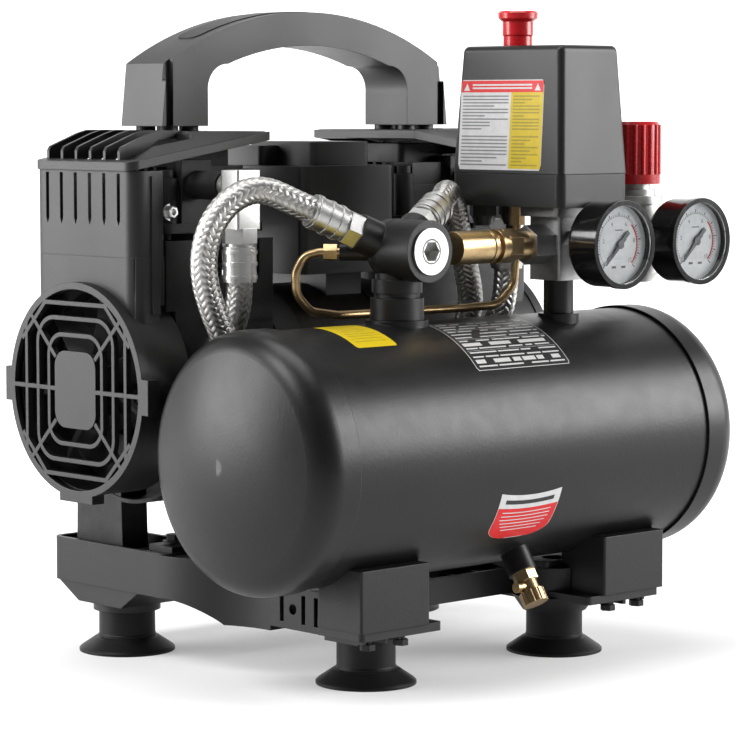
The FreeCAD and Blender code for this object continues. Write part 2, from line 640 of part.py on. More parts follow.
def make_head_shroud():
    """Upper cover round the outer half of the head, with six slots near its top."""
    x_in, x_out = HOUSING_X
    y0, y1 = HOUSING_Y
    top = 300.0
    shell = rounded(box(-x_out, -x_in + 3, y0, y1, PARTING_Z, top), 9,
                    lambda e, m: upright(e, m) and m.x < -x_in - 10)
    inside = rounded(box(-x_out + 2.5, -x_in + 4, y0 + 2.5, y1 - 2.5, PARTING_Z - 1, top + 1), 6.5,
                     lambda e, m: upright(e, m) and m.x < -x_in - 10)
    slots = []
    for k in range(6):
        y = 113.4 + 13.9 * k
        outline = [(-x_out - 1, y - 1.45, 298.4), (-x_out - 1, y - 1.45, 271), (-x_out - 1, y, 267.5),
                   (-x_out - 1, y + 1.45, 271), (-x_out - 1, y + 1.45, 298.4)]
        slots.append(prism(outline, V(5, 0, 0)))
    flanges = [box(-x_in + 2, -x_in + 4.5, y, y + 9, PARTING_Z, top) for y in (y0 + 2.4, y1 - 11.4)]
    strip = box(-x_in - 6, -x_in, y0 - 1.2, y0 + 1, PARTING_Z, 297)
    return fuse([cut(shell, [inside] + slots), strip] + flanges)


def make_head_lid():
    """Sloping cover: thick rim, flat crown, a web under it, and ribs with deep gaps down the slope."""
    rim_in = -61.0
    rim_out = -169.0
    y0, y1 = 99.0, 195.0
    low_out, low_in = 300.0, 317.5
    rim = 5.2
    slope = (low_in - low_out) / (rim_in - rim_out)
    ledge = 7.5
    crown_x = -132.0

    def hull(inset, drop):
        """Rim wedge and sloped crown as one lofted block, smaller by inset and lower by drop."""
        xo, xi = rim_out + ledge + inset, rim_in - inset
        ya, yb = y0 + inset, y1 - inset
        zo, zi = low_out + rim + slope * ledge - drop, low_in + rim - drop
        base = Part.makePolygon([V(xo, ya, zo), V(xi, ya, zi), V(xi, yb, zi), V(xo, yb, zo), V(xo, ya, zo)])
        crown = [V(crown_x + inset, 113 + inset, LID_Z - drop), V(xi, y0 + 3 + inset, LID_Z - drop),
                 V(xi, y1 - 3 - inset, LID_Z - drop), V(crown_x + inset, 185 - inset, LID_Z - drop)]
        return Part.makeLoft([base, Part.makePolygon(crown + [crown[0]])], True, True)

    rim_side = [(rim_out, low_out), (rim_in, low_in), (rim_in, low_in + rim), (rim_out, low_out + rim)]
    wedge = prism([(x, y0, z) for x, z in rim_side], V(0, y1 - y0, 0))
    wedge = rounded(wedge, 7, lambda e, m: upright(e, m) and m.x < rim_out + 1)
    under_side = [(rim_out + 3, low_out - 2), (rim_in - 3, low_in - 2), (rim_in - 3, low_in + rim + 0.1),
                  (rim_out + ledge + 2, low_out + rim + 1.2), (rim_out + ledge + 2, low_out + 3),
                  (rim_out + 3, low_out + 3)]
    under = prism([(x, y0 + 3, z) for x, z in under_side], V(0, y1 - y0 - 6, 0))
    under = rounded(under, 4, lambda e, m: upright(e, m) and m.x < rim_out + 4)
    cover = cut(fuse([wedge, hull(1.6, 0)]), [under, hull(4.2, 2.8)])
    gaps = []
    ribs = []
    rib_z = low_out + rim + slope * ledge - 1
    for k in range(7):
        y = 106.0 + 13.9 * k
        if k < 6:
            gaps.append(box(rim_out + ledge + 0.6, -116, y + 1.2, y + 12.7, rib_z + 0.4, LID_Z + 3))
        if k > 0:
            side = [(rim_out + ledge, rib_z), (rim_out + ledge, rib_z + 6),
                    (rim_out + ledge + 1.5, rib_z + 8.5), (crown_x - 7, LID_Z - 1.2),
                    (crown_x, LID_Z + 0.6), (-115, LID_Z + 0.6),
                    (-115, LID_Z - 4), (crown_x, LID_Z - 5), (rim_out + ledge + 6, rib_z)]
            ribs.append(prism([(x, y - 1.2, z) for x, z in side], V(0, 2.4, 0)))
    web = box(-118, -115.6, y0 + 8, y1 - 8, HEAD_Z[1] + 5, LID_Z - 1)
    return fuse([cut(cover, gaps), web] + ribs)


# ---------- handle ----------

def make_carry_handle():
    """Arched handle: two legs on the lids, a bowed grip over the finger gap, a seat for the top strip."""
    x = HANDLE_HALF
    y0, y1 = HANDLE_Y
    foot, shoulder, crown = HANDLE_Z
    gap, gap_top = GRIP_GAP
    outline = [Part.LineSegment(V(-x, y0, foot), V(-x + 4, y0, shoulder)).toShape(),
               Part.Arc(V(-x + 4, y0, shoulder), V(0, y0, crown), V(x - 4, y0, shoulder)).toShape(),
               Part.LineSegment(V(x - 4, y0, shoulder), V(x, y0, foot)).toShape(),
               Part.LineSegment(V(x, y0, foot), V(-x, y0, foot)).toShape()]
    body = Part.Face(Part.Wire(outline)).extrude(V(0, y1 - y0, 0))
    bend = 16.0
    crest = gap_top + 1.0
    side = gap_top - 12.0
    foot_l, low_l = V(-gap, y0, foot), V(-gap, y0, side - bend)
    corner_l, high_l = V(-gap + 4.5, y0, side - 3.5), V(-gap + bend, y0, side + 1)
    foot_r, low_r = V(gap, y0, foot), V(gap, y0, side - bend)
    corner_r, high_r = V(gap - 4.5, y0, side - 3.5), V(gap - bend, y0, side + 1)
    edges = [Part.LineSegment(foot_r, foot_l).toShape(),
             Part.LineSegment(foot_l, low_l).toShape(),
             Part.Arc(low_l, corner_l, high_l).toShape(),
             Part.Arc(high_l, V(0, y0, crest), high_r).toShape(),
             Part.Arc(high_r, corner_r, low_r).toShape(),
             Part.LineSegment(low_r, foot_r).toShape()]
    window = Part.Face(Part.Wire(edges)).extrude(V(0, y1 - y0 + 2, 0))
    window.translate(V(0, -1, 0))
    pads = [rod(V(px, py, LID_Z), Z, 6, foot - LID_Z + 1) for px in (-108, -92, 92, 108)
            for py in (y0 + 9, y1 - 9)]
    grooves = [box(s * (x - 3), s * (x - 8.5), y0 - 1, y0 + 3.5, foot - 1, shoulder + 12) for s in (-1, 1)]
    return cut(fuse([body.cut(window)] + pads), [strip_shape(0.05)] + grooves)


def strip_shape(grow):
    """The strip laid into the top of the handle, in an oblong bed; grow is the gap left round it."""
    shoulder, crown = HANDLE_Z[1:]
    half = 86.0
    y0, y1 = HANDLE_Y[0] + 10.0, HANDLE_Y[1] - 10.0
    rise = crown - shoulder
    radius = ((HANDLE_HALF - 4) ** 2 + rise ** 2) / (2 * rise)
    centre_z = crown - radius
    block = box(-half - grow, half + grow, y0 - grow, y1 + grow, shoulder, crown + 5)
    block = rounded(block, 6, upright)
    shell = rod(V(0, y0 - 5, centre_z), Y, radius + 0.6 - grow, y1 - y0 + 10)
    core = rod(V(0, y0 - 6, centre_z), Y, radius - 1.6 - grow, y1 - y0 + 12)
    return block.common(shell.cut(core)) if not grow else block.cut(core)


# ---------- terminal box ----------

def make_terminal_box():
    """Box over the motor for the capacitor and the terminals: a pedestal, a case and two raised caps."""
    case = rounded(box(-33, 45, 100, 182, 234, 301), 5, upright)
    cap = rounded(box(-19, 29, 106, 168, 300, 316), 4, upright)
    side_cap = rounded(box(-32, -10, 140, 180, 300, 313.5), 4, upright)
    pedestal = box(4, 34, 120, 176, 212, 236)
    inside = box(-30, 42, 103, 179, 237, 298)
    seat = rod(on_axis(-40), X, STATOR_R, 90)
    gland_hole = rod(V(40, 125, 250), X, 5.0, 8)
    return cut(fuse([case, cap, side_cap, pedestal]), [inside, seat, gland_hole])


def make_cable_glands():
    """Two glands: one in the terminal box, one under the rear of the switch."""
    def gland(start, direction):
        nut = hexagon(start, direction, 15, 7)
        dome = cone(start + direction * 7, direction, 7.2, 5.2, 6)
        neck = rod(start - direction * 4, direction, 4.8, 5)
        return fuse([nut, dome, neck]).cut(rod(start - direction * 5, direction, LEAD_R, 30))
    box_gland = gland(V(45, 125, 250), X)
    switch_gland = gland(V(88, 38, SWITCH_Z[0]), -Z)
    inlet_gland = gland(V(62, 38, SWITCH_Z[0]), -Z)
    return Part.makeCompound([box_gland, switch_gland, inlet_gland])


MOTOR_LEAD = [(50, 125, 250), (66, 125, 250), (78, 114, 247), (87, 99, 246), (93, 82, 246), (95, 65, 246),
              (93, 50, 249), (88, 38, 258), (88, 38, 275)]


# ---------- check valve, hoses and unloader tube ----------

VALVE_Z = 253.5
BOSS_REACH = 28.0
PORT_L = V(-0.861, 0.311, 0.404).normalize()
PORT_R = V(0.861, 0.311, 0.404).normalize()
RELIEF_PORT = V(-0.72, 0.69, 0).normalize()
RELIEF_RISE = -1.5


def valve_centre():
    return V(VALVE_X, 0, VALVE_Z)


def make_check_valve_body():
    """Block with a front boss, two hose ports and a threaded stem into the tank."""
    centre = valve_centre()
    top = TANK_Z + TANK_R
    stem = [rod(V(VALVE_X, 0, top - 6), Z, 7.9, 12), rod(V(VALVE_X, 0, top + 2), Z, 16, 13),
            rod(V(VALVE_X, 0, top + 14), Z, 13.4, 5), rod(V(VALVE_X, 0, top + 18), Z, 15, 8),
            rod(V(VALVE_X, 0, top + 24), Z, 13, 12)]
    belly = Part.makeSphere(18.6, centre)
    boss = rod(centre + Y * 6, -Y, 18.3, BOSS_REACH + 6)
    ports = [rod(centre, PORT_L, 11.2, 28), rod(centre, PORT_R, 11.2, 28)]
    side_port = rod(centre + Z * RELIEF_RISE, RELIEF_PORT, 5.0, 34)
    body = fuse(stem + [belly, boss, side_port] + ports)
    cuts = [rod(V(VALVE_X, 0, top - 10), Z, 4.5, 50),
            rod(centre - Y * (BOSS_REACH + 1), Y, 12.2, 20),
            rod(centre - Y * 20, Y, 7.5, 22)]
    cuts += [rod(centre + Z * RELIEF_RISE + RELIEF_PORT * 10, RELIEF_PORT, 2.0, 30)]
    cuts += [rod(centre + p * 4, p, 5.0, 30) for p in (PORT_L, PORT_R)]
    return cut(body, cuts)


def make_check_valve_plug():
    """Bright plug with a hexagon socket, screwed into the front boss."""
    face = valve_centre() - Y * (BOSS_REACH + 1.5)
    head = rod(face, Y, 13.8, 1.5)
    thread = rod(face + Y, Y, 12.2, 16)
    return fuse([head, thread]).cut(hexagon(face - Y, Y, 11, 9))


def ferrule(start, direction):
    """Hex union nut and crimped collar, from the fitting towards the hose."""
    nut = hexagon(start, direction, 19, 9)
    neck = rod(start + direction * 8, direction, 8.4, 4)
    collar = rod(start + direction * 11, direction, 10.0, 21)
    bands = [ring(start + direction * h, direction, 10.6, 9.0, 2.2) for h in (13, 20, 28)]
    body = fuse([nut, neck, collar] + bands)
    return body.cut(rod(start + direction * 26, direction, HOSE_R, 10))


ELBOW_X = 112.6
ELBOW_Y = 67.0
ELBOW_FOOT = 266.2
PORT_Z = HEAD_Z[0] + 29
HOSE_END_Z = ELBOW_FOOT - 26


def make_hose_fittings():
    """Ferrules at the check valve, and a tall elbow block with a ferrule at each cylinder head."""
    centre = valve_centre()
    pieces = [ferrule(centre + PORT_L * 28, PORT_L), ferrule(centre + PORT_R * 28, PORT_R)]
    for side in (-1, 1):
        x = side * ELBOW_X
        block = box(x - 9, x + 9, ELBOW_Y - 9, ELBOW_Y + 7, ELBOW_FOOT - 0.5, PORT_Z + 9.5)
        block = rounded(block, 1.5, upright)
        spigot = rod(V(x, ELBOW_Y + 6, PORT_Z), Y, 4.9, 30)
        arm = rod(V(x, ELBOW_Y + 6, PORT_Z), Y, 7.4, 6.4)
        hose_end = ferrule(V(x, ELBOW_Y, ELBOW_FOOT), -Z)
        pieces.append(fuse([block, spigot, arm, hose_end]))
    return Part.makeCompound(pieces)


def hose_start(port):
    """Where the hose leaves the ferrule on the check valve: its end stands in the crimp."""
    return valve_centre() + port * 54


def left_hose_points():
    """Over the top, down behind the tank's end, and a hanging loop back up to the left elbow."""
    start = hose_start(PORT_L)
    return [tuple(start), tuple(start + PORT_L * 16), (-124, 33, 291), (-139, 41, 286), (-150, 47, 272),
            (-153, 52, 254), (-150, 55, 236), (-141, 57, 217), (-129, 60, 199), (-112, 69, 184),
            (-93, 82, 171), (-79, 91, 154), (-79, 91, 133), (-94, 91, 119), (-113, 91, 122),
            (-124, 91, 138), (-124, 91, 159), (-120, 90.5, 179), (-115, 83.5, 197),
            (-ELBOW_X, ELBOW_Y, 214), (-ELBOW_X, ELBOW_Y, HOSE_END_Z)]


def right_hose_points():
    """Over the top, down behind the tank, and a wide turn back up to the right elbow."""
    start = hose_start(PORT_R)
    return [tuple(start), tuple(start + PORT_R * 14), (22.5, 30.3, 286.5), (35, 37.5, 280.5), (44, 43, 266),
            (53, 48, 250), (63, 53, 234), (73, 59, 216), (77, 68, 199), (75, 79, 181), (73, 89, 162),
            (77, 91, 142), (91, 91, 127), (109, 91, 126), (122, 91, 140), (123, 91, 160), (119, 89, 179),
            (114, 80, 197), (ELBOW_X, ELBOW_Y, 214), (ELBOW_X, ELBOW_Y, HOSE_END_Z)]


RELIEF_START = valve_centre() + Z * RELIEF_RISE + RELIEF_PORT * 34
UNLOADER = [tuple(RELIEF_START), tuple(RELIEF_START + RELIEF_PORT * 12), (-87, 39, 249.5), (-92, 40.5, 240),
            (-91, 41, 227), (-81, 39.5, 216.5), (-61, 37, 213.5), (-30, 35, 213.5), (8, 34, 213.5),
            (40, 33, 213.5), (66, 29, 214.5), (77, 25.5, 227), (78, 24, 250), (78, 24, 277)]


def make_unloader_tube():
    """The thin relief line from the check valve to the switch, with a flare nut at each end."""
    line = tube("unloader_tube", UNLOADER, TUBE_R, 12.0)
    start = V(*UNLOADER[0])
    heading = (V(*UNLOADER[1]) - start).normalize()
    nuts = [hexagon(start + heading * 1.5, heading, 9, 8), hexagon(V(78, 24, 264), Z, 9, 12.5)]
    return fuse([line] + nuts)


# ---------- manifold, safety valve, switch, regulator, gauges ----------

def make_riser_pipe():
    """Black pipe from the tank to the manifold."""
    boss_top = TANK_Z + TANK_R + 1
    pipe = rod(V(RISER_X, RISER_Y, boss_top), Z, 9.2, 232 - boss_top)
    thread = rod(V(RISER_X, RISER_Y, boss_top - 6), Z, 5.95, 8)
    return fuse([pipe, thread]).cut(rod(V(RISER_X, RISER_Y, boss_top - 8), Z, 4.2, 40))


def make_manifold_block():
    """Die-cast cross under the switch: left, right and front arms, and a flange that carries the switch."""
    at = V(RISER_X, RISER_Y, MANIFOLD_Z)
    core = rounded(box(RISER_X - 13, RISER_X + 13, RISER_Y - 13, RISER_Y + 13, 232, 272), 2, upright)
    arms = [hexagon(at - X * 30, X, 21, 19), hexagon(at + X * 12, X, 21, 18),
            hexagon(at - Y * 13, -Y, 17, 8), rod(at + X * 29, X, 8.4, 18)]
    flange = box(RISER_X - 19, RISER_X + 19, RISER_Y - 16, RISER_Y + 16, 271, SWITCH_Z[0])
    block = fuse([core, rounded(flange, 3, upright)] + arms)
    cuts = [rod(at - X * 31, X, 5.5, 90), rod(at - Y * 30, Y, 4.6, 30),
            rod(V(RISER_X, RISER_Y, 230), Z, 5.5, 50)]
    return cut(block, cuts)


SAFETY_X = RISER_X - 30


def make_safety_valve_body():
    """Brass body: thread, collar, hexagon and the barrel that the cap slides on."""
    base = V(SAFETY_X, RISER_Y, MANIFOLD_Z)
    pieces = [rod(base + X * 8, -X, 5.4, 9), rod(base, -X, 8.6, 10), hexagon(base - X * 10, -X, 18, 10),
              rod(base - X * 20, -X, 9.4, 7), ring(base - X * 24, -X, 10.4, 6, 3),
              rod(base - X * 26, -X, 7.6, 22)]
    return fuse(pieces).cut(rod(base + X * 10, -X, 2.5, 44))


def make_safety_valve_cap():
    """The test cap, pulled outwards to lift the valve."""
    base = V(SAFETY_X - 30.5, RISER_Y, MANIFOLD_Z)
    cap = rod(base, -X, 10, 31).cut(rod(base + X, -X, 7.6 + RUN_FIT, 21))
    groove = ring(base - X * 3, -X, 11, 9.3, 1.4)
    return cap.cut(groove)


def make_switch_base():
    """Tray of the pressure switch, with a hub on the manifold flange."""
    x0, x1, y0, y1 = SWITCH
    z0, z1 = SWITCH_Z[:2]
    tray = rounded(box(x0, x1, y0, y1, z0, z1), 5, upright)
    room = rounded(box(x0 + 2.5, x1 - 2.5, y0 + 2.5, y1 - 2.5, z0 + 3, z1 + 1), 3, upright)
    works = [box(x0 + 10, x1 - 10, y0 + 14, y0 + 60, z0 + 2, z1 + 22),
             rod(V(*KNOB_POS, z0 + 2), Z, 9, z1 - z0 + 30)]
    tray = fuse([tray.cut(room)] + works)
    holes = [rod(V(62, 38, z0 - 2), Z, 4.8, 8), rod(V(88, 38, z0 - 2), Z, 4.8, 8),
             rod(V(78, 24, z0 - 2), Z, TUBE_R, 4), rod(V(RISER_X, RISER_Y, z0 - 1), Z, 5.5, 12),
             rod(V(*KNOB_POS, z0 + 10), Z, 6.2, 60)]
    return cut(tray, holes)


def make_switch_cover():
    """Tapered cover, hollow, with a hole for the knob."""
    x0, x1, y0, y1 = SWITCH
    z1, z2 = SWITCH_Z[1:]

    def block(inset, low, high, taper):
        a = Part.makePolygon([V(x0 + inset, y0 + inset, low), V(x1 - inset, y0 + inset, low),
                              V(x1 - inset, y1 - inset, low), V(x0 + inset, y1 - inset, low),
                              V(x0 + inset, y0 + inset, low)])
        g = inset + taper
        b = Part.makePolygon([V(x0 + g, y0 + g, high), V(x1 - g, y0 + g, high), V(x1 - g, y1 - g, high),
                              V(x0 + g, y1 - g, high), V(x0 + g, y0 + g, high)])
        return Part.makeLoft([a, b], True, True)

    outer = block(0, z1 + 0.2, z2, 4.5)
    outer = rounded(outer, 4, lambda e, m: m.z > z1 + 2)
    inner = block(2.5, z1 - 1, z2 - 2.5, 4.3)
    hole = rod(V(*KNOB_POS, z2 - 10), Z, 9.6, 20)
    return cut(outer, [inner, hole])


def make_switch_knob():
    """Red push-pull knob on a black stem."""
    x, y = KNOB_POS
    top = SWITCH_Z[2]
    profile = [(0, top - 52), (5.9, top - 52), (5.9, top - 12), (9.0, top - 12), (9.0, top + 6),
               (9.6, top + 7), (9.6, top + 15), (12.2, top + 17), (12.4, top + 20.5),
               (11.4, top + 21.6), (0, top + 21.6)]
    return lathe(profile, V(x, y, 0), Z)


def make_regulator_body():
    """Regulator: inlet from the manifold, gauge port in front, outlet to the right, collar above."""
    at = V(REGULATOR_X, RISER_Y, MANIFOLD_Z)
    foot = V(REGULATOR_X, RISER_Y, 228)
    pieces = [cone(foot, Z, 10, 15.5, 6), rod(foot + Z * 6, Z, 15.5, 43), rod(foot + Z * 49, Z, 17, 5),
              rod(foot + Z * 54, Z, 12.5, 4), rod(foot + Z * 57, Z, 9.0, 26),
              rod(at - X * 28, X, 10, 14), rod(at + X * 12, X, 10.5, 8), hexagon(at - Y * 14, -Y, 17, 7)]
    cuts = [rod(at - X * 40, X, 5.5, 70), rod(at - Y * 30, Y, 4.6, 30), rod(at - X * 29, X, 8.5, 6)]
    return cut(fuse(pieces), cuts)


def make_regulator_knob():
    """Red ribbed knob, hollow below."""
    base = V(REGULATOR_X, RISER_Y, 289.5)
    knob = fuse([cone(base, Z, 15.2, 15.4, 6), rod(base + Z * 6, Z, 14.6, 31),
                 cone(base + Z * 37, Z, 14.6, 13.4, 2)])
    ribs = []
    for k in range(18):
        rib = rod(base + Z * 6 + X * 14.3, Z, 1.5, 31)
        rib.rotate(base, Z, 20 * k)
        ribs.append(rib)
    return fuse([knob] + ribs).cut(rod(base - Z, Z, 9.0 + RUN_FIT, 24))


def gauge_axis(x):
    return V(x, GAUGE_Y, MANIFOLD_Z + 1)


def make_gauge_case(x):
    """Black case open to the front, with the dial seat, bezel and rear stem."""
    face = gauge_axis(x)
    body = rod(face, Y, GAUGE_R, GAUGE_DEPTH)
    body = rounded(body, 4, lambda e, m: m.y > GAUGE_Y + GAUGE_DEPTH - 0.1)
    bezel = ring(face, Y, GAUGE_R + 0.8, GAUGE_R - 2.2, 4)
    port_y = RISER_Y - 21
    stem = hexagon(face + Y * (GAUGE_DEPTH - 1), Y, 12, port_y - GAUGE_Y - GAUGE_DEPTH + 1)
    thread = rod(V(x, port_y - 1, MANIFOLD_Z + 1), Y, 3.5, 10)
    case = fuse([body, bezel, stem, thread])
    return cut(case, [rod(face - Y, Y, GAUGE_R - 2.2, 7), rod(face, Y, 1.3, 8)])


def make_gauge_lenses():
    lenses = []
    for x in (RISER_X, REGULATOR_X):
        lenses.append(rod(gauge_axis(x) + Y * 0.6, Y, GAUGE_R - 2.25, 1.6))
    return Part.makeCompound(lenses)


NEEDLE_REST = math.radians(225)


def make_needle(x):
    """Pointer with a counterweight tail and a short shaft, resting at zero."""
    hub = gauge_axis(x)
    blade = prism([(-6, 4.2, -1.6), (-6, 4.2, 1.6), (17.5, 4.2, 0.35), (17.5, 4.2, -0.35)], V(0, 0.7, 0))
    blade.rotate(V(0, 0, 0), Y, -math.degrees(NEEDLE_REST))
    blade.translate(hub)
    disc = rod(hub + Y * 3.8, Y, 2.6, 1.4)
    shaft = rod(hub + Y * 4, Y, 1.2, 3.6)
    return fuse([blade, disc, shaft])


# ---------- outlet coupler and drain ----------

def make_coupler_body():
    """Quick coupler for the air hose: thread, hexagon and socket."""
    base = V(REGULATOR_X + 20, RISER_Y, MANIFOLD_Z)
    pieces = [rod(base - X * 6, X, 5.4, 7), hexagon(base, X, 17, 6), rod(base + X * 5, X, 7.2, 22)]
    return fuse(pieces).cut(rod(base + X * 8, X, 5.0, 30)).cut(rod(base - X * 8, X, 2.5, 20))


def make_coupler_sleeve():
    """Sliding ring that frees the hose plug."""
    base = V(REGULATOR_X + 20 + 10.6, RISER_Y, MANIFOLD_Z)
    sleeve = ring(base, X, 10.2, 7.2 + RUN_FIT, 14)
    grooves = [ring(base + X * h, X, 12, 9.4, 1.6) for h in (3, 6.2, 9.4)]
    return cut(sleeve, grooves)


def make_drain_body():
    """Brass body screwed into the boss on the tank, with a side nozzle."""
    at = on_drain(TANK_R + 14)
    way = drain_way()
    pieces = [rod(at - way * 12, way, 4.4, 13), hexagon(at, way, 13, 6), rod(at + way * 5, way, 5.8, 7),
              rod(at + way * 8.8, V(-1, 0, 0), 3.1, 11)]
    return fuse(pieces).cut(rod(at + way * 6, way, 3.2 + RUN_FIT, 10)).cut(rod(at - way * 13, way, 1.6, 24))


def make_drain_knob():
    """Knurled brass screw that opens the drain."""
    at = on_drain(TANK_R + 14)
    way = drain_way()
    head = rod(at + way * 12.4, way, 7.8, 8)
    notches = []
    for k in range(14):
        notch = rod(at + way * 11 + X * 8.4, way, 1.0, 12)
        notch.rotate(at, way, 360 / 14 * k)
        notches.append(notch)
    stem = rod(at + way * 7, way, 3.2, 6)
    return fuse([cut(head, notches), stem])


# ---------- writing ----------

def pair(name, left):
    return {name + "_left": left, name + "_right": mirrored(left)}


def build():
    parts = {
        "base_frame": make_base_frame(),
        "suction_feet": make_suction_feet(),
        "foot_bolts": make_foot_bolts(),
        "rubber_mounts": make_rubber_mounts(),
        "tank_shell": make_tank_shell(),
        "base_screws": Part.makeCompound([make_mount_screws(), make_bracket_screws()]),
        "motor_stator": make_motor_stator(),
        "motor_windings": make_motor_windings(),
        "rotor": make_rotor(),
        "crankshaft": make_crankshaft(),
        "shaft_bearings": make_shaft_bearings(),
        "piston_left": make_piston(-1),
        "piston_right": make_piston(1),
        "head_bolts": make_head_bolts(),
        "cooling_fans": make_cooling_fans(),
        "carry_handle": make_carry_handle(),
        "handle_strip": strip_shape(0),
        "terminal_box": make_terminal_box(),
        "cable_glands": make_cable_glands(),
        "motor_lead": tube("motor_lead", MOTOR_LEAD, LEAD_R - 0.05),
        "check_valve_body": make_check_valve_body(),
        "check_valve_plug": make_check_valve_plug(),
        "hose_fittings": make_hose_fittings(),
        "delivery_hose_left": tube("delivery_hose_left", left_hose_points(), HOSE_R),
        "delivery_hose_right": tube("delivery_hose_right", right_hose_points(), HOSE_R),
        "unloader_tube": make_unloader_tube(),
        "riser_pipe": make_riser_pipe(),
        "manifold_block": make_manifold_block(),
        "safety_valve_body": make_safety_valve_body(),
        "safety_valve_cap": make_safety_valve_cap(),
        "switch_base": make_switch_base(),
        "switch_cover": make_switch_cover(),
        "switch_knob": make_switch_knob(),
        "regulator_body": make_regulator_body(),
        "regulator_knob": make_regulator_knob(),
        "gauge_case_tank": make_gauge_case(RISER_X),
        "gauge_case_outlet": make_gauge_case(REGULATOR_X),
        "gauge_lenses": make_gauge_lenses(),
        "gauge_needle_tank": make_needle(RISER_X),
        "gauge_needle_outlet": make_needle(REGULATOR_X),
        "coupler_body": make_coupler_body(),
        "coupler_sleeve": make_coupler_sleeve(),
        "drain_body": make_drain_body(),
        "drain_knob": make_drain_knob(),
    }
    parts.update(pair("tank_cap", make_tank_cap()))
    parts["tank_brackets"] = Part.makeCompound([make_tank_bracket(), mirrored(make_tank_bracket())])
    parts.update(pair("crankcase", make_crankcase()))
    parts["cylinders"] = Part.makeCompound([make_cylinder(), mirrored(make_cylinder())])
    parts.update(pair("cylinder_head", make_cylinder_head()))
    parts.update(pair("fan_housing", make_fan_housing()))
    parts.update(pair("fan_guard", make_fan_guard()))
    parts.update(pair("head_shroud", make_head_shroud()))
    parts.update(pair("head_lid", make_head_lid()))
    return parts


os.makedirs("parts", exist_ok=True)
for name, shape in build().items():
    shape.translate(V(0, BACK, 0))
    solids = shape.Solids
    if not shape.isValid() or not solids or any(s.Volume < 1 for s in solids):
        print("CHECK", name, shape.isValid(), len(solids), [round(s.Volume) for s in solids])
    shape.exportStep(f"parts/{name}.step")
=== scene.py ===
import json
import math
import random

import bpy
from mathutils import Matrix, Vector


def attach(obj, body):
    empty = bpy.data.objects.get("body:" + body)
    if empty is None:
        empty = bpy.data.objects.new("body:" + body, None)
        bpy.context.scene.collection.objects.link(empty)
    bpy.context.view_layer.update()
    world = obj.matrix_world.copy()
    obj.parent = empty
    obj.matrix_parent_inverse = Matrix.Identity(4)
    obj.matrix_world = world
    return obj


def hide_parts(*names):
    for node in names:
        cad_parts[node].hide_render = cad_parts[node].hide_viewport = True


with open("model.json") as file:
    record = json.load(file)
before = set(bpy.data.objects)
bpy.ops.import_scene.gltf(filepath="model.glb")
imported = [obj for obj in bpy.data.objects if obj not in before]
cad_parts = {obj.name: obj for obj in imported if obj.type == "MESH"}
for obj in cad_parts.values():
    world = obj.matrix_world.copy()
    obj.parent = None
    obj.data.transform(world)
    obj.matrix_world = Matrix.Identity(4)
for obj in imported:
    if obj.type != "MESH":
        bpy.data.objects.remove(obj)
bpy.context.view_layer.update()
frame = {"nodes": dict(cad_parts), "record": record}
nodes = frame["nodes"]
SLOTS = {part["node"]: part["material_slot"] for part in frame["record"]["subparts"]}
Z = Vector((0, 0, 1))

# Bench frame used for the details, in mm: x from the middle of the tank, y from its axis, z from the floor.
BACK = -70.7
MM = 0.001
TANK_R = 75.0
TANK_Z = 135.3


def at(x, y, z):
    """A point of the bench frame, in mm, as a point of the part's own frame, in metres."""
    return Vector((x, y + BACK, z)) * MM


# ---------- camera ----------

VIEW = Vector((0.6768, 0.7309, -0.0872))
AWAY = Vector((VIEW.x, VIEW.y, 0)).normalized()


def make_camera():
    """A long lens, a little below the handle's height, facing the corner of the front and the left end."""
    data = bpy.data.cameras.new("camera")
    data.lens = 146.74
    data.sensor_width = 36
    data.clip_start = 0.1
    camera = bpy.data.objects.new("camera", data)
    camera.location = (-1.2645, -1.3596, 0.3386)
    camera.rotation_euler = VIEW.to_track_quat("-Z", "Y").to_euler()
    bpy.context.scene.collection.objects.link(camera)
    bpy.context.scene.camera = camera


make_camera()


# ---------- material graphs ----------

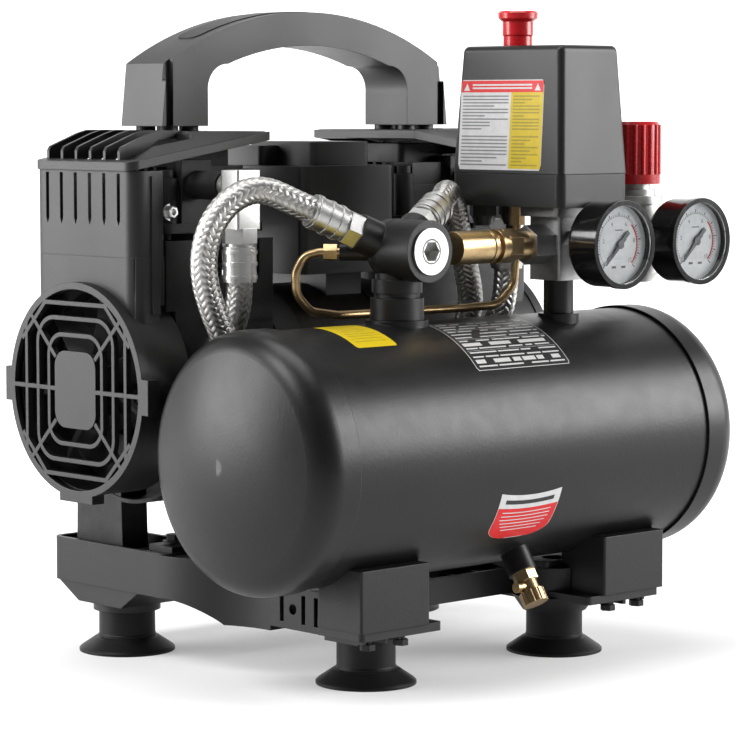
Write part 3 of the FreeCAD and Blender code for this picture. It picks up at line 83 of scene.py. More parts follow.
class Graph:
    """A material whose Principled shader gets its colour, roughness and relief from procedural nodes."""

    def __init__(self, name, metallic=0.0, specular=0.5, coat=0.0, coat_rough=0.1, sheen=0.0):
        self.material = bpy.data.materials.new(name)
        self.material.use_nodes = True
        self.tree = self.material.node_tree
        self.shader = self.tree.nodes["Principled BSDF"]
        self.set("Metallic", metallic)
        self.set("Specular IOR Level", specular)
        self.set("Coat Weight", coat)
        self.set("Coat Roughness", coat_rough)
        self.set("Sheen Weight", sheen)
        self.place = self.node("ShaderNodeTexCoord").outputs["Object"]
        self.normal = None

    def set(self, socket, value):
        """Sets a constant on the shader itself."""
        self.shader.inputs[socket].default_value = value

    def node(self, kind, inputs=None, **settings):
        """A new node: settings are its own options, inputs are values or sockets for its inputs."""
        made = self.tree.nodes.new(kind)
        for key, value in settings.items():
            setattr(made, key, value)
        for key, value in (inputs or {}).items():
            self.give(made.inputs[key], value)
        return made

    def give(self, socket, value):
        """Links another node's output to a socket, or sets the socket's own value."""
        if isinstance(value, bpy.types.NodeSocket):
            self.tree.links.new(value, socket)
        else:
            socket.default_value = value

    def noise(self, size, detail=2.0, rough=0.5, place=None):
        """Noise from 0 to 1 whose features are about size mm wide."""
        return self.node("ShaderNodeTexNoise", {"Vector": place or self.place, "Scale": 1000.0 / size,
                                                "Detail": detail, "Roughness": rough}).outputs["Fac"]

    def cells(self, size):
        """Distance to the nearest of scattered points that lie about size mm apart."""
        return self.node("ShaderNodeTexVoronoi", {"Vector": self.place,
                                                  "Scale": 1000.0 / size}).outputs["Distance"]

    def stretch(self, x, y, z):
        """Coordinates with each axis scaled, so that a pattern is drawn out along the axes of low scale."""
        return self.node("ShaderNodeMapping", {"Vector": self.place, "Scale": (x, y, z)}).outputs["Vector"]

    def remap(self, value, low, high, to_low, to_high):
        """Carries the range low..high to to_low..to_high and holds it there."""
        return self.node("ShaderNodeMapRange", {"Value": value, "From Min": low, "From Max": high,
                                                "To Min": to_low, "To Max": to_high}).outputs["Result"]

    def math(self, operation, a, b):
        return self.node("ShaderNodeMath", {0: a, 1: b}, operation=operation).outputs["Value"]

    def blend(self, share, a, b):
        """Colour a where share is 0 and colour b where it is 1."""
        mixed = self.node("ShaderNodeMix", data_type="RGBA")
        self.give(mixed.inputs["Factor"], share)
        self.give(mixed.inputs["A"], a)
        self.give(mixed.inputs["B"], b)
        return mixed.outputs["Result"]

    def relief(self, height, depth):
        """Adds a bump of that depth in mm on top of the ones before it."""
        inputs = {"Height": height, "Distance": depth * MM, "Strength": 1.0}
        if self.normal is not None:
            inputs["Normal"] = self.normal
        self.normal = self.node("ShaderNodeBump", inputs).outputs["Normal"]

    def soften(self, radius):
        """Rounds hard edges in the shading and returns how close a point is to one, from 0 to 1."""
        bevel = self.node("ShaderNodeBevel", {"Radius": radius * MM}, samples=4)
        flat = self.node("ShaderNodeNewGeometry").outputs["Normal"]
        facing = self.node("ShaderNodeVectorMath", {0: bevel.outputs["Normal"], 1: flat},
                           operation="DOT_PRODUCT")
        self.normal = bevel.outputs["Normal"]
        return self.remap(facing.outputs["Value"], 0.995, 0.90, 0.0, 1.0)

    def finish(self, colour, rough):
        """Joins the colour, the roughness and all the relief to the shader."""
        self.give(self.shader.inputs["Base Color"], colour)
        self.give(self.shader.inputs["Roughness"], rough)
        self.give(self.shader.inputs["Normal"], self.normal)
        return self.material


def grey(value):
    return (value, value, value, 1)


def scaled(colour, factor):
    """The same hue, darker or lighter."""
    return tuple(min(1, c * factor) for c in colour[:3]) + (1,)


def moulded(name, dark, light, rough, grain=0.55, depth=0.035, specular=0.36):
    """Moulded plastic: pebbled grain, soft flow marks in tone and gloss, paler edges painted as a highlight
    that scuff noise breaks up.
    """
    g = Graph(name, specular=specular)
    near_edge = g.soften(0.6)
    flow = g.noise(42, 3, 0.55, g.stretch(1, 1, 0.45))
    fine = g.noise(grain, 2, 0.6)
    pits = g.cells(grain * 1.5)
    g.relief(pits, depth)
    g.relief(fine, depth * 0.6)
    scuffs = g.noise(9, 6, 0.75, g.stretch(1, 1, 6))
    tone = g.blend(g.remap(flow, 0.3, 0.7, 0, 1), grey(dark), grey(light))
    # Darker in the pits of the grain: painted shade.
    tone = g.blend(g.remap(pits, 0.0, 0.9, 0.22, 0.0), tone, grey(dark * 0.55))
    # Paler near the edges, patchy with scuff noise: a painted edge highlight.
    scuffed_edge_highlight = g.math("MULTIPLY", near_edge, g.remap(scuffs, 0.35, 0.65, 0.15, 0.65))
    tone = g.blend(scuffed_edge_highlight, tone, grey(light * 3.0))
    gloss = g.remap(g.math("ADD", g.math("MULTIPLY", flow, 0.7), g.math("MULTIPLY", scuffs, 0.3)),
                    0.3, 0.7, rough[0], rough[1])
    return g.finish(tone, gloss)


def powder_coat(name, dark, light, rough, peel=1.7, depth=0.05, specular=0.34):
    """Powder coated steel: orange peel, fine sparkle in the film, a little dust in the gloss."""
    g = Graph(name, specular=specular)
    near_edge = g.soften(0.8)
    skin = g.noise(peel, 1.5, 0.4)
    grit = g.noise(0.35, 2, 0.6)
    drift = g.noise(60, 3, 0.5)
    g.relief(skin, depth)
    g.relief(grit, depth * 0.25)
    tone = g.blend(g.remap(drift, 0.3, 0.7, 0, 1), grey(dark), grey(light))
    tone = g.blend(g.remap(g.noise(0.8, 0, 0.5), 0.66, 0.75, 0, 0.5), tone, grey(light * 2.2))
    # Paler along every edge: a painted edge highlight.
    tone = g.blend(g.math("MULTIPLY", near_edge, 0.35), tone, grey(light * 1.7))
    return g.finish(tone, g.remap(g.noise(14, 4, 0.6), 0.3, 0.7, rough[0], rough[1]))


def soft_rubber(name, dark, light, rough=(0.62, 0.82), specular=0.35, sheen=0.08):
    """Rubber: dull, mottled, with mould dust caught in a fine grain."""
    g = Graph(name, specular=specular, sheen=sheen)
    g.soften(0.5)
    bloom = g.noise(16, 5, 0.65)
    grain = g.noise(0.5, 3, 0.65)
    g.relief(grain, 0.05)
    tone = g.blend(g.remap(bloom, 0.35, 0.72, 0, 1), grey(dark), grey(light))
    tone = g.blend(g.remap(grain, 0.58, 0.75, 0, 0.4), tone, grey(light * 1.8))
    return g.finish(tone, g.remap(bloom, 0.3, 0.7, rough[1], rough[0]))


def metal(name, colour, shade, rough, brush=(1, 1, 1), grain=0.6, depth=0.012, tarnish=0.35, spots=0.0):
    """Bare metal: brushed or cast grain, tarnish in tone and gloss, dark spots, and brighter edges painted as
    a highlight.
    """
    g = Graph(name, metallic=1.0)
    near_edge = g.soften(0.3)
    lines = g.noise(grain, 3, 0.7, g.stretch(*brush))
    stain = g.noise(11, 5, 0.65)
    g.relief(lines, depth)
    tone = g.blend(g.remap(stain, 0.38, 0.72, 0, tarnish), colour, shade)
    tone = g.blend(g.remap(lines, 0.3, 0.8, 0.18, 0.0), tone, shade)
    if spots:
        tone = g.blend(g.remap(g.noise(1.1, 3, 0.7), 0.60, 0.72, 0, spots), tone, scaled(shade, 0.35))
    # Brighter along every edge: a painted edge highlight.
    tone = g.blend(g.math("MULTIPLY", near_edge, 0.3), tone, scaled(colour, 1.25))
    gloss = g.remap(g.math("ADD", g.math("MULTIPLY", lines, 0.5), g.math("MULTIPLY", stain, 0.5)),
                    0.3, 0.7, rough[0], rough[1])
    return g.finish(tone, gloss)


def gloss_plastic(name, colour, deep, rough=(0.12, 0.26), coat=0.25):
    """Glossy moulded plastic: slight waviness, fine scratches, deeper colour in the flow."""
    g = Graph(name, coat=coat, coat_rough=0.08)
    g.soften(0.35)
    flow = g.noise(12, 3, 0.5)
    scratch = g.noise(2.5, 6, 0.8, g.stretch(1, 1, 9))
    g.relief(g.noise(5, 1, 0.4), 0.02)
    g.relief(scratch, 0.003)
    tone = g.blend(g.remap(flow, 0.3, 0.7, 0, 1), colour, deep)
    return g.finish(tone, g.remap(scratch, 0.35, 0.7, rough[0], rough[1]))


def printed(name, colour):
    """Printed film: faint mottling of the ink and a fine laminate texture."""
    g = Graph(name, specular=0.25, coat=0.04, coat_rough=0.3)
    blotch = g.noise(4.5, 4, 0.6)
    ink = g.noise(0.25, 2, 0.6)
    g.relief(ink, 0.006)
    mottle = g.math("ADD", g.math("MULTIPLY", blotch, 0.6), g.math("MULTIPLY", ink, 0.4))
    tone = g.blend(g.remap(mottle, 0.35, 0.65, 0, 1), scaled(colour, 1.04), scaled(colour, 0.86))
    return g.finish(tone, g.remap(blotch, 0.3, 0.7, 0.28, 0.42))


def braid_wire(name):
    """Stainless strand bundle: five wires side by side along U, with painted shade in the gaps between them
    and bright crowns.
    """
    g = Graph(name, metallic=1.0)
    uv = g.node("ShaderNodeUVMap", uv_map="strand").outputs["UV"]
    across = g.node("ShaderNodeSeparateXYZ", {"Vector": uv}).outputs["X"]
    wave = g.math("SINE", g.math("MULTIPLY", across, 5 * 2 * math.pi), 0.0)
    crown = g.remap(wave, -1, 1, 0, 1)
    stain = g.noise(7, 4, 0.6)
    g.relief(crown, 0.06)
    g.relief(g.noise(0.4, 2, 0.6), 0.006)
    bright = g.blend(g.remap(stain, 0.35, 0.7, 0, 1), (0.66, 0.65, 0.63, 1), (0.50, 0.49, 0.47, 1))
    # Darker in the gaps between the wires: painted shade.
    tone = g.blend(g.remap(crown, 0.05, 0.6, 1, 0), bright, (0.28, 0.28, 0.27, 1))
    return g.finish(tone, g.remap(stain, 0.3, 0.7, 0.28, 0.42))


def lens_glass(name):
    """Clear lens with a faint waviness and smears in its gloss."""
    g = Graph(name, specular=0.5)
    g.set("Transmission Weight", 1.0)
    g.set("IOR", 1.45)
    smear = g.noise(9, 5, 0.7)
    g.relief(g.noise(6, 1, 0.4), 0.004)
    return g.finish(g.blend(g.remap(smear, 0.3, 0.7, 0, 1), (0.97, 0.985, 0.99, 1), (0.93, 0.95, 0.96, 1)),
                    g.remap(smear, 0.45, 0.8, 0.0, 0.06))


def laminated(name):
    """Stacked sheet steel: fine lines across the shaft and brown varnish."""
    g = Graph(name, metallic=0.6)
    g.soften(0.3)
    sheets = g.noise(0.5, 0, 0.5, g.stretch(1, 0.01, 0.01))
    g.relief(sheets, 0.1)
    varnish = g.noise(18, 4, 0.6)
    tone = g.blend(g.remap(sheets, 0.3, 0.7, 0, 1), (0.030, 0.027, 0.025, 1), (0.014, 0.012, 0.010, 1))
    tone = g.blend(g.remap(varnish, 0.45, 0.7, 0, 0.6), tone, (0.016, 0.009, 0.006, 1))
    return g.finish(tone, g.remap(varnish, 0.3, 0.7, 0.35, 0.6))


def enamel_wire(name):
    """Varnished copper winding: round wires lying round the shaft."""
    g = Graph(name, metallic=0.85)
    rings = g.node("ShaderNodeTexWave", {"Vector": g.place, "Scale": 160.0, "Distortion": 1.5, "Detail": 2.0,
                                         "Detail Scale": 40.0}, wave_type="RINGS", rings_direction="X")
    wires = rings.outputs["Fac"]
    g.relief(wires, 0.5)
    stain = g.noise(6, 4, 0.6)
    tone = g.blend(g.remap(stain, 0.3, 0.7, 0, 1), (0.62, 0.24, 0.08, 1), (0.42, 0.13, 0.035, 1))
    # Darker in the grooves between the wires: painted shade.
    return g.finish(g.blend(g.remap(wires, 0, 0.4, 0.8, 0), tone, (0.08, 0.02, 0.005, 1)),
                    g.remap(stain, 0.3, 0.7, 0.22, 0.4))


FINISHES = {
    "tank_coat": powder_coat("tank_coat", 0.005, 0.008, (0.33, 0.39), specular=0.30),
    "bracket_coat": powder_coat("bracket_coat", 0.005, 0.008, (0.38, 0.46), peel=1.3),
    "base_plastic": moulded("base_plastic", 0.006, 0.010, (0.40, 0.50)),
    "cover_plastic": moulded("cover_plastic", 0.006, 0.010, (0.42, 0.50), specular=0.48),
    "handle_plastic": moulded("handle_plastic", 0.007, 0.011, (0.43, 0.51), grain=0.45, specular=0.54),
    "handle_grip": soft_rubber("handle_grip", 0.008, 0.014),
    "switch_plastic": moulded("switch_plastic", 0.008, 0.012, (0.36, 0.44), grain=0.4, depth=0.025),
    "red_plastic": gloss_plastic("red_plastic", (0.56, 0.008, 0.012, 1), (0.40, 0.004, 0.008, 1),
                                 (0.22, 0.36)),
    "rubber": soft_rubber("rubber", 0.003, 0.005, (0.42, 0.56), specular=0.22, sheen=0.02),
    "zinc_steel": metal("zinc_steel", (0.66, 0.66, 0.66, 1), (0.36, 0.36, 0.35, 1), (0.22, 0.42), spots=0.3),
    "lamination": laminated("lamination"),
    "copper": enamel_wire("copper"),
    "cast_black": powder_coat("cast_black", 0.007, 0.011, (0.48, 0.62), peel=0.9, depth=0.09),
    "aluminium": metal("aluminium", (0.68, 0.68, 0.68, 1), (0.42, 0.42, 0.42, 1), (0.26, 0.44),
                       brush=(0.15, 1, 1)),
    "fan_plastic": moulded("fan_plastic", 0.005, 0.008, (0.5, 0.62), grain=0.7),
    "chromed_fitting": metal("chromed_fitting", (0.58, 0.58, 0.57, 1), (0.38, 0.38, 0.37, 1), (0.30, 0.44),
                             brush=(1, 1, 0.2), tarnish=0.5, spots=0.2),
    "brass": metal("brass", (0.56, 0.41, 0.22, 1), (0.26, 0.17, 0.085, 1), (0.26, 0.40), brush=(0.2, 1, 1),
                   tarnish=0.6, spots=0.35),
    "die_cast": metal("die_cast", (0.42, 0.42, 0.42, 1), (0.20, 0.20, 0.20, 1), (0.32, 0.50), grain=0.5,
                      depth=0.05, tarnish=0.6, spots=0.25),
    "regulator_grey": metal("regulator_grey", (0.55, 0.55, 0.54, 1), (0.30, 0.30, 0.30, 1), (0.34, 0.5),
                            grain=0.5, depth=0.05),
    "gauge_black": gloss_plastic("gauge_black", (0.006, 0.006, 0.006, 1), (0.004, 0.004, 0.004, 1),
                                 (0.10, 0.20), coat=0.1),
    "needle_black": gloss_plastic("needle_black", (0.11, 0.11, 0.112, 1), (0.07, 0.07, 0.071, 1),
                                  (0.3, 0.45)),
    "gauge_glass": lens_glass("gauge_glass"),
    "coupler_steel": metal("coupler_steel", (0.76, 0.76, 0.75, 1), (0.5, 0.5, 0.48, 1), (0.14, 0.28),
                           brush=(0.2, 1, 1)),
    "steel_braid": braid_wire("steel_braid"),
    "cable_sheath": soft_rubber("cable_sheath", 0.006, 0.01, (0.4, 0.55)),
}
for node, slot in SLOTS.items():
    for place in nodes[node].material_slots:
        place.material = FINISHES[slot]


# ---------- cords ----------

def centre_of(curve):
    """Points read along a curve, in order."""
    bare = curve.data.copy()
    bare.bevel_depth = 0
    carrier = bpy.data.objects.new("carrier", bare)
    mesh = bpy.data.meshes.new_from_object(carrier)
    line = [v.co.copy() for v in mesh.vertices]
    bpy.data.meshes.remove(mesh)
    bpy.data.objects.remove(carrier)
    bpy.data.curves.remove(bare)
    return line


def make_cord(name, points, thickness, material):
    """A round cord along the route's points, given in the bench frame."""
    data = bpy.data.curves.new(name, "CURVE")
    data.dimensions = "3D"
    data.resolution_u = 14
    data.bevel_depth = thickness / 2 * MM
    data.bevel_resolution = 7
    spline = data.splines.new("NURBS")
    spline.points.add(len(points) - 1)
    for control, point in zip(spline.points, points):
        control.co = (*at(*point), 1)
    spline.order_u = 3
    spline.use_endpoint_u = True
    data.materials.append(material)
    cord = bpy.data.objects.new(name, data)
    bpy.context.scene.collection.objects.link(cord)
    return cord


def spread_along(line, step):
    """Positions, directions and side vectors about step apart along a line, with no twist between them."""
    lengths = [0.0]
    for a, b in zip(line, line[1:]):
        lengths.append(lengths[-1] + (b - a).length)
    count = max(2, round(lengths[-1] / step))
    placed = []
    k = 0
    for i in range(count + 1):
        s = lengths[-1] * i / count
        while k < len(line) - 2 and lengths[k + 1] < s:
            k += 1
        t = (s - lengths[k]) / max(1e-9, lengths[k + 1] - lengths[k])
        placed.append((s, line[k].lerp(line[k + 1], t)))
    frames = []
    side = None
    for i, (s, p) in enumerate(placed):
        ahead = placed[min(i + 1, count)][1] - placed[max(i - 1, 0)][1]
        ahead.normalize()
        if side is None:
            side = ahead.orthogonal().normalized()
        side = (side - ahead * side.dot(ahead)).normalized()
        frames.append((s, p, side.copy(), ahead.cross(side)))
    return frames


def new_mesh(name, points, faces, materials, indices=None, body="machine", smooth=True):
    """A separate piece that rides on a body, from points in metres."""
    mesh = bpy.data.meshes.new(name)
    mesh.from_pydata([tuple(p) for p in points], [], faces)
    for material in materials:
        mesh.materials.append(material)
    if indices is not None:
        mesh.polygons.foreach_set("material_index", indices)
    mesh.polygons.foreach_set("use_smooth", [smooth] * len(faces))
    mesh.update()
    made = bpy.data.objects.new(name, mesh)
    bpy.context.scene.collection.objects.link(made)
    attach(made, body)
    return made


def make_braid(name, line, radius):
    """Woven cover: two sets of flat strand bundles that pass two over and two under each other."""
    carriers = 12
    lay_angle = math.radians(44)
    cover = 0.93
    rise = 0.26
    thick = 0.32
    pitch = 2 * math.pi * radius / math.tan(lay_angle)
    steps = 4
    frames = spread_along(line, pitch * MM / (2 * carriers * steps))
    half = math.pi / carriers * cover
    points, faces, coords = [], [], []
    for turn in (1, -1):
        for i in range(carriers):
            start = len(points)
            for s, centre, side, other in frames:
                winding = 2 * math.pi * s / (pitch * MM)
                crossing = winding * carriers / math.pi
                level = math.cos(math.pi / 2 * (2 * i + turn * crossing - 0.5)) * turn
                for k, across in enumerate((-1, -0.4, 0.4, 1)):
                    angle = 2 * math.pi * i / carriers + turn * winding + across * half
                    crown = thick / 2 if k in (1, 2) else -thick / 2
                    out = (radius + rise * level + crown) * MM
                    points.append(centre + (side * math.cos(angle) + other * math.sin(angle)) * out)
                    coords.append(((across + 1) / 2, s * 1000))
            for row in range(len(frames) - 1):
                for k in range(3):
                    a = start + row * 4 + k
                    faces.append((a, a + 4, a + 5, a + 1))
    braid = new_mesh(name, points, faces, [FINISHES["steel_braid"]])
    layer = braid.data.uv_layers.new(name="strand")
    flat = []
    for loop in braid.data.loops:
        flat.extend(coords[loop.vertex_index])
    layer.data.foreach_set("uv", flat)
    return braid


PORT = Vector((0.861, 0.311, 0.404)).normalized()
VALVE = Vector((-47.6, 0, 253.5))


def from_port(sign, distance):
    """A point on the axis of the left (-1) or the right (1) hose port."""
    return VALVE + Vector((sign * PORT.x, PORT.y, PORT.z)) * distance


LEFT_HOSE = [from_port(-1, 54), from_port(-1, 70), (-124, 33, 291), (-139, 41, 286), (-150, 47, 272),
             (-153, 52, 254), (-150, 55, 236), (-141, 57, 217), (-129, 60, 199), (-112, 69, 184),
             (-93, 82, 171), (-79, 91, 154), (-79, 91, 133), (-94, 91, 119), (-113, 91, 122), (-124, 91, 138),
             (-124, 91, 159), (-120, 90.5, 179), (-115, 83.5, 197), (-112.6, 67, 214), (-112.6, 67, 240.2)]
RIGHT_HOSE = [from_port(1, 54), from_port(1, 68), (22.5, 30.3, 286.5), (35, 37.5, 280.5), (44, 43, 266),
              (53, 48, 250), (63, 53, 234), (73, 59, 216), (77, 68, 199), (75, 79, 181), (73, 89, 162),
              (77, 91, 142), (91, 91, 127), (109, 91, 126), (122, 91, 140), (123, 91, 160), (119, 89, 179),
              (114, 80, 197), (112.6, 67, 214), (112.6, 67, 240.2)]
MOTOR_LEAD = [(50, 125, 250), (66, 125, 250), (78, 114, 247), (87, 99, 246), (93, 82, 246), (95, 65, 246),
              (93, 50, 249), (88, 38, 258), (88, 38, 275)]
BRAID_R = 7.62
LINER_THICKNESS = 14.4


def length_of(line):
    """The length in metres along a line of points."""
    return sum((b - a).length for a, b in zip(line, line[1:]))


for side, points in (("left", LEFT_HOSE), ("right", RIGHT_HOSE)):
    liner = make_cord("delivery_hose_liner_" + side, points, LINER_THICKNESS, FINISHES["cable_sheath"])
    line = centre_of(liner)
    braid = make_braid("delivery_hose_braid_" + side, line, BRAID_R)
    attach(liner, "machine")
    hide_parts("delivery_hose_" + side)
    at(*points[0])
    round(length_of(line), 3)
lead = make_cord("switch_lead", MOTOR_LEAD, 6.9, FINISHES["cable_sheath"])
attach(lead, "machine")
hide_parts("motor_lead")


# ---------- small hardware ----------

def turned(name, profile, centre, axis, sides, material):
    """A small piece of round or many-sided section: profile gives (radius, distance along the axis) in mm."""
    axis = Vector(axis).normalized()
    side = axis.orthogonal().normalized()
    other = axis.cross(side)
    points, faces = [], []
    for radius, along in profile:
        for k in range(sides):
            angle = 2 * math.pi * k / sides
            out = (side * math.cos(angle) + other * math.sin(angle)) * radius
            points.append(centre + (axis * along + out) * MM)
    for ring in range(len(profile) - 1):
        for k in range(sides):
            a, b = ring * sides + k, ring * sides + (k + 1) % sides
            faces.append((a, b, b + sides, a + sides))
    return new_mesh(name, points, faces, [material], smooth=False)


FORWARD = (0, -1, 0)
PLUG_FACE = at(VALVE.x, -29.5, VALVE.z)
# A thin dark ring round the plug's socket: painted shade on the plug's face.
PLUG_SHADE_RING = [(6.5, 0.0), (6.6, 0.10), (7.5, 0.12), (7.6, 0.0)]
WASHER = [(0.0, 0.0), (5.2, 0.0), (5.2, 1.0), (0.0, 1.0)]
SCREW_HEAD = [(4.0, 1.0), (4.0, 3.6), (3.5, 4.1), (2.0, 4.1), (1.8, 2.2), (0.0, 2.2)]

# Painted shade: a dark ring laid on the plug's face round its socket.
turned("plug_shade_ring", PLUG_SHADE_RING, PLUG_FACE, FORWARD, 48, FINISHES["needle_black"])
for side, x in (("left", -131), ("right", 131)):
    seat = at(x, 110, 275)
    turned("cover_washer_" + side, WASHER, seat, FORWARD, 40, FINISHES["zinc_steel"])
    turned("cover_screw_" + side, SCREW_HEAD, seat, FORWARD, 6, FINISHES["zinc_steel"])


# ---------- printed labels ----------

INKS = {
    "red_ink": printed("red_ink", (0.60, 0.012, 0.014, 1)),
    "white_ink": printed("white_ink", (0.58, 0.58, 0.58, 1)),
    "yellow_ink": printed("yellow_ink", (0.56, 0.41, 0.010, 1)),
    "grey_ink": printed("grey_ink", (0.20, 0.20, 0.21, 1)),
    "light_ink": printed("light_ink", (0.50, 0.50, 0.49, 1)),
    "olive_ink": printed("olive_ink", (0.30, 0.25, 0.02, 1)),
    "plate_black": printed("plate_black", (0.022, 0.022, 0.023, 1)),
    "dial_white": printed("dial_white", (0.80, 0.80, 0.80, 1)),
    "dial_black": printed("dial_black", (0.10, 0.10, 0.105, 1)),
}


class Print:
    """Collects thin printed areas of one label, laid on a surface by place(u, v, height in mm)."""

    def __init__(self, name, place):
        self.name = name
        self.place = place
        self.points = []
        self.faces = []
        self.indices = []
        self.inks = []

    def ink(self, name):
        """The place of an ink in this label's list of materials."""
        if name not in self.inks:
            self.inks.append(name)
        return self.inks.index(name)

    def area(self, ink, low, high, edges, height, columns=12, rows=12):
        """An area between v = low and high; edges(v) gives its left and right u."""
        index = self.ink(ink)
        start = len(self.points)
        for i in range(rows + 1):
            v = low + (high - low) * i / rows
            left, right = edges(v)
            for k in range(columns + 1):
                self.points.append(self.place(left + (right - left) * k / columns, v, height))
        for i in range(rows):
            for k in range(columns):
                a = start + i * (columns + 1) + k
                self.faces.append((a, a + 1, a + columns + 2, a + columns + 1))
                self.indices.append(index)

    def bar(self, ink, u0, u1, v0, v1, height, columns=6):
        """A plain rectangle."""
        self.area(ink, v0, v1, lambda v: (u0, u1), height, columns, 1)

    def rounded(self, ink, u0, u1, v0, v1, radius, height, columns=14, rows=16):
        """A rectangle with rounded corners."""
        def edges(v):
            inset = 0.0
            for edge in (v0, v1):
                near = abs(v - edge)
                if near < radius:
                    inset = radius - math.sqrt(max(0.0, radius ** 2 - (radius - near) ** 2))
            return u0 + inset, u1 - inset
        self.area(ink, v0, v1, edges, height, columns, rows)

    def lines(self, ink, u0, u1, v0, v1, count, thick, height, seed, shortest=0.35):
        """Plain bars of uneven length, stacked from v1 down to v0."""
        chance = random.Random(seed)
        for i in range(count):
            v = v1 - (v1 - v0) * (i + 0.5) / count
            share = 1.0 if chance.random() < 0.6 else chance.uniform(shortest, 0.9)
            self.bar(ink, u0, u0 + (u1 - u0) * share, v - thick / 2, v + thick / 2, height, 4)

    def arc(self, ink, inner, outer, start, end, height, steps):
        """The part of a ring between two radii and two angles."""
        index = self.ink(ink)
        for i in range(steps):
            corner = len(self.points)
            for angle in (start + (end - start) * i / steps, start + (end - start) * (i + 1) / steps):
                for radius in (inner, outer):
                    self.points.append(self.place(radius * math.cos(angle), radius * math.sin(angle), height))
            self.faces.append((corner, corner + 2, corner + 3, corner + 1))
            self.indices.append(index)

    def make(self):
        """The label as one piece on the machine."""
        return new_mesh(self.name, self.points, self.faces, [INKS[i] for i in self.inks], self.indices)


def on_tank(x, angle_mm, height):
    """u runs along the tank and v round it, from straight forward towards the top."""
    angle = angle_mm / TANK_R
    out = TANK_R + height
    return at(x, -math.cos(angle) * out, TANK_Z + math.sin(angle) * out)


def round_tank(degrees):
    """The way round the tank, in mm, from straight forward."""
    return math.radians(degrees) * TANK_R


SWITCH_X, SWITCH_Y, SWITCH_Z = 45.0, 2.0, 297.2
SWITCH_LEAN = 4.5 / 78.0


def on_switch(u, v, height):
    """The switch cover's left face: u runs forward along it and v up it from its foot."""
    return at(SWITCH_X + SWITCH_LEAN * v - height, SWITCH_Y - u, SWITCH_Z + v)


def switch_label():
    """A white and a yellow column of plain bars under a red band with two blank triangles."""
    label = Print("switch_label", on_switch)
    left, right, low, high = -41.0, 30.0, 2.0, 57.0
    split = 2.5
    tip, half_base, tall = high - 2.2, 2.6, 4.4

    def triangle(middle):
        return lambda v: (middle - half_base * (tip - v) / tall, middle + half_base * (tip - v) / tall)

    label.rounded("white_ink", left, right, low, high, 1.4, 0.12)
    label.area("yellow_ink", low + 0.9, high - 7.6, lambda v: (split, right - 0.4), 0.20)
    label.area("red_ink", high - 7.6, high - 0.5, lambda v: (left + 0.4, right - 0.4), 0.20)
    for v in (high - 3.6, high - 5.6):
        label.bar("white_ink", left + 10, right - 10, v, v + 1.0, 0.26)
    for u in (left + 5.2, right - 5.2):
        label.area("white_ink", tip - tall, tip, triangle(u), 0.26, 2, 6)
    for block, (top, base, rows) in enumerate(((high - 9, high - 31, 11), (high - 33.5, low + 2, 9))):
        label.lines("grey_ink", left + 2, split - 2, base, top, rows, 0.85, 0.20, 3 + block)
        label.lines("olive_ink", split + 2, right - 3, base, top, rows, 0.85, 0.26, 13 + block)
    label.make()


def data_plate():
    """A black plate with a pale border and rows of plain bars."""
    label = Print("data_plate", on_tank)
    left, right = -36.0, 42.0
    low, high = round_tank(41), round_tank(79)
    label.rounded("light_ink", left, right, low, high, 1.0, 0.10, 10, 24)
    label.rounded("plate_black", left + 0.5, right - 0.5, low + 0.5, high - 0.5, 0.8, 0.16, 10, 24)
    chance = random.Random(8)
    rows = 13
    for i in range(rows):
        v = high - 3 - (high - low - 6) * i / (rows - 1)
        u = left + 3
        while u < right - 6:
            end = min(u + chance.uniform(5, 24), right - 3)
            tall = 0.55 if i not in (7, 11) else 1.5
            label.bar("light_ink", u, end, v - tall, v + tall, 0.22, 4)
            u = end + chance.choice((1.5, 2.5, 7))
        if i in (2, 5, 8):
            label.bar("light_ink", left + 2, right - 2, v - 2.0, v - 1.8, 0.22, 8)
    label.make()


def yellow_label():
    """A yellow block with plain bars, on the shoulder of the tank."""
    label = Print("yellow_label", on_tank)
    left, right = -113.0, -81.0
    low, high = round_tank(61), round_tank(92)
    label.rounded("yellow_ink", left, right, low, high, 1.2, 0.12, 8, 22)
    label.lines("olive_ink", left + 4, right - 4, low + 5, high - 4, 9, 0.7, 0.18, 21, 0.5)
    label.make()


def shield_label():
    """A red and white shield on the front of the tank."""
    label = Print("shield_label", on_tank)
    left, right = -31.0, 19.5
    middle = (left + right) / 2
    top, foot = round_tank(-17), round_tank(-43)
    round_share = 0.30
    sag = 2.4

    def width(v):
        """Straight sides above, then a rounded foot."""
        share = (v - foot) / (top - foot)
        half = (right - left) / 2
        if share < round_share:
            half *= 0.25 + 0.75 * math.sqrt(max(0.0, 1 - (1 - share / round_share) ** 2))
        return middle - half, middle + half

    def dip(place):
        """The upper edge hangs a little in the middle."""
        def moved(u, v, height):
            share = max(0.0, (v - foot) / (top - foot))
            return place(u, v - sag * share * (1 - ((u - middle) / (right - middle)) ** 2), height)
        return moved

    label.place = dip(on_tank)
    label.area("white_ink", foot, top, width, 0.12, 14, 20)
    label.area("red_ink", foot + 0.5, top - 9.5, lambda v: (width(v)[0] + 0.4, width(v)[1] - 0.4), 0.18,
               14, 16)
    label.bar("plate_black", left + 5, right - 5, top - 6.4, top - 3.6, 0.18, 14)
    for i in range(6):
        v = top - 12.5 - 2.7 * i
        inset = 5 + 1.6 * max(0, i - 2)
        label.bar("white_ink", width(v)[0] + inset, width(v)[1] - inset, v - 0.35, v + 0.35, 0.24, 12)
    label.make()


switch_label()
data_plate()
yellow_label()
shield_label()


# ---------- gauge dials ----------

GAUGE_Y = -70.0
GAUGE_Z = 255.0
TANK_GAUGE_X = 75.0
OUTLET_GAUGE_X = 145.0
DIAL_SWEEP = math.radians(270)
DIAL_FIRST = math.radians(225)


def on_dial(x):
    """A place function for the dial of the gauge at x: u runs to the right and v up, from its centre."""
    def place(u, v, height):
        return at(x + u, GAUGE_Y + 6 - height, GAUGE_Z + v)
    return place


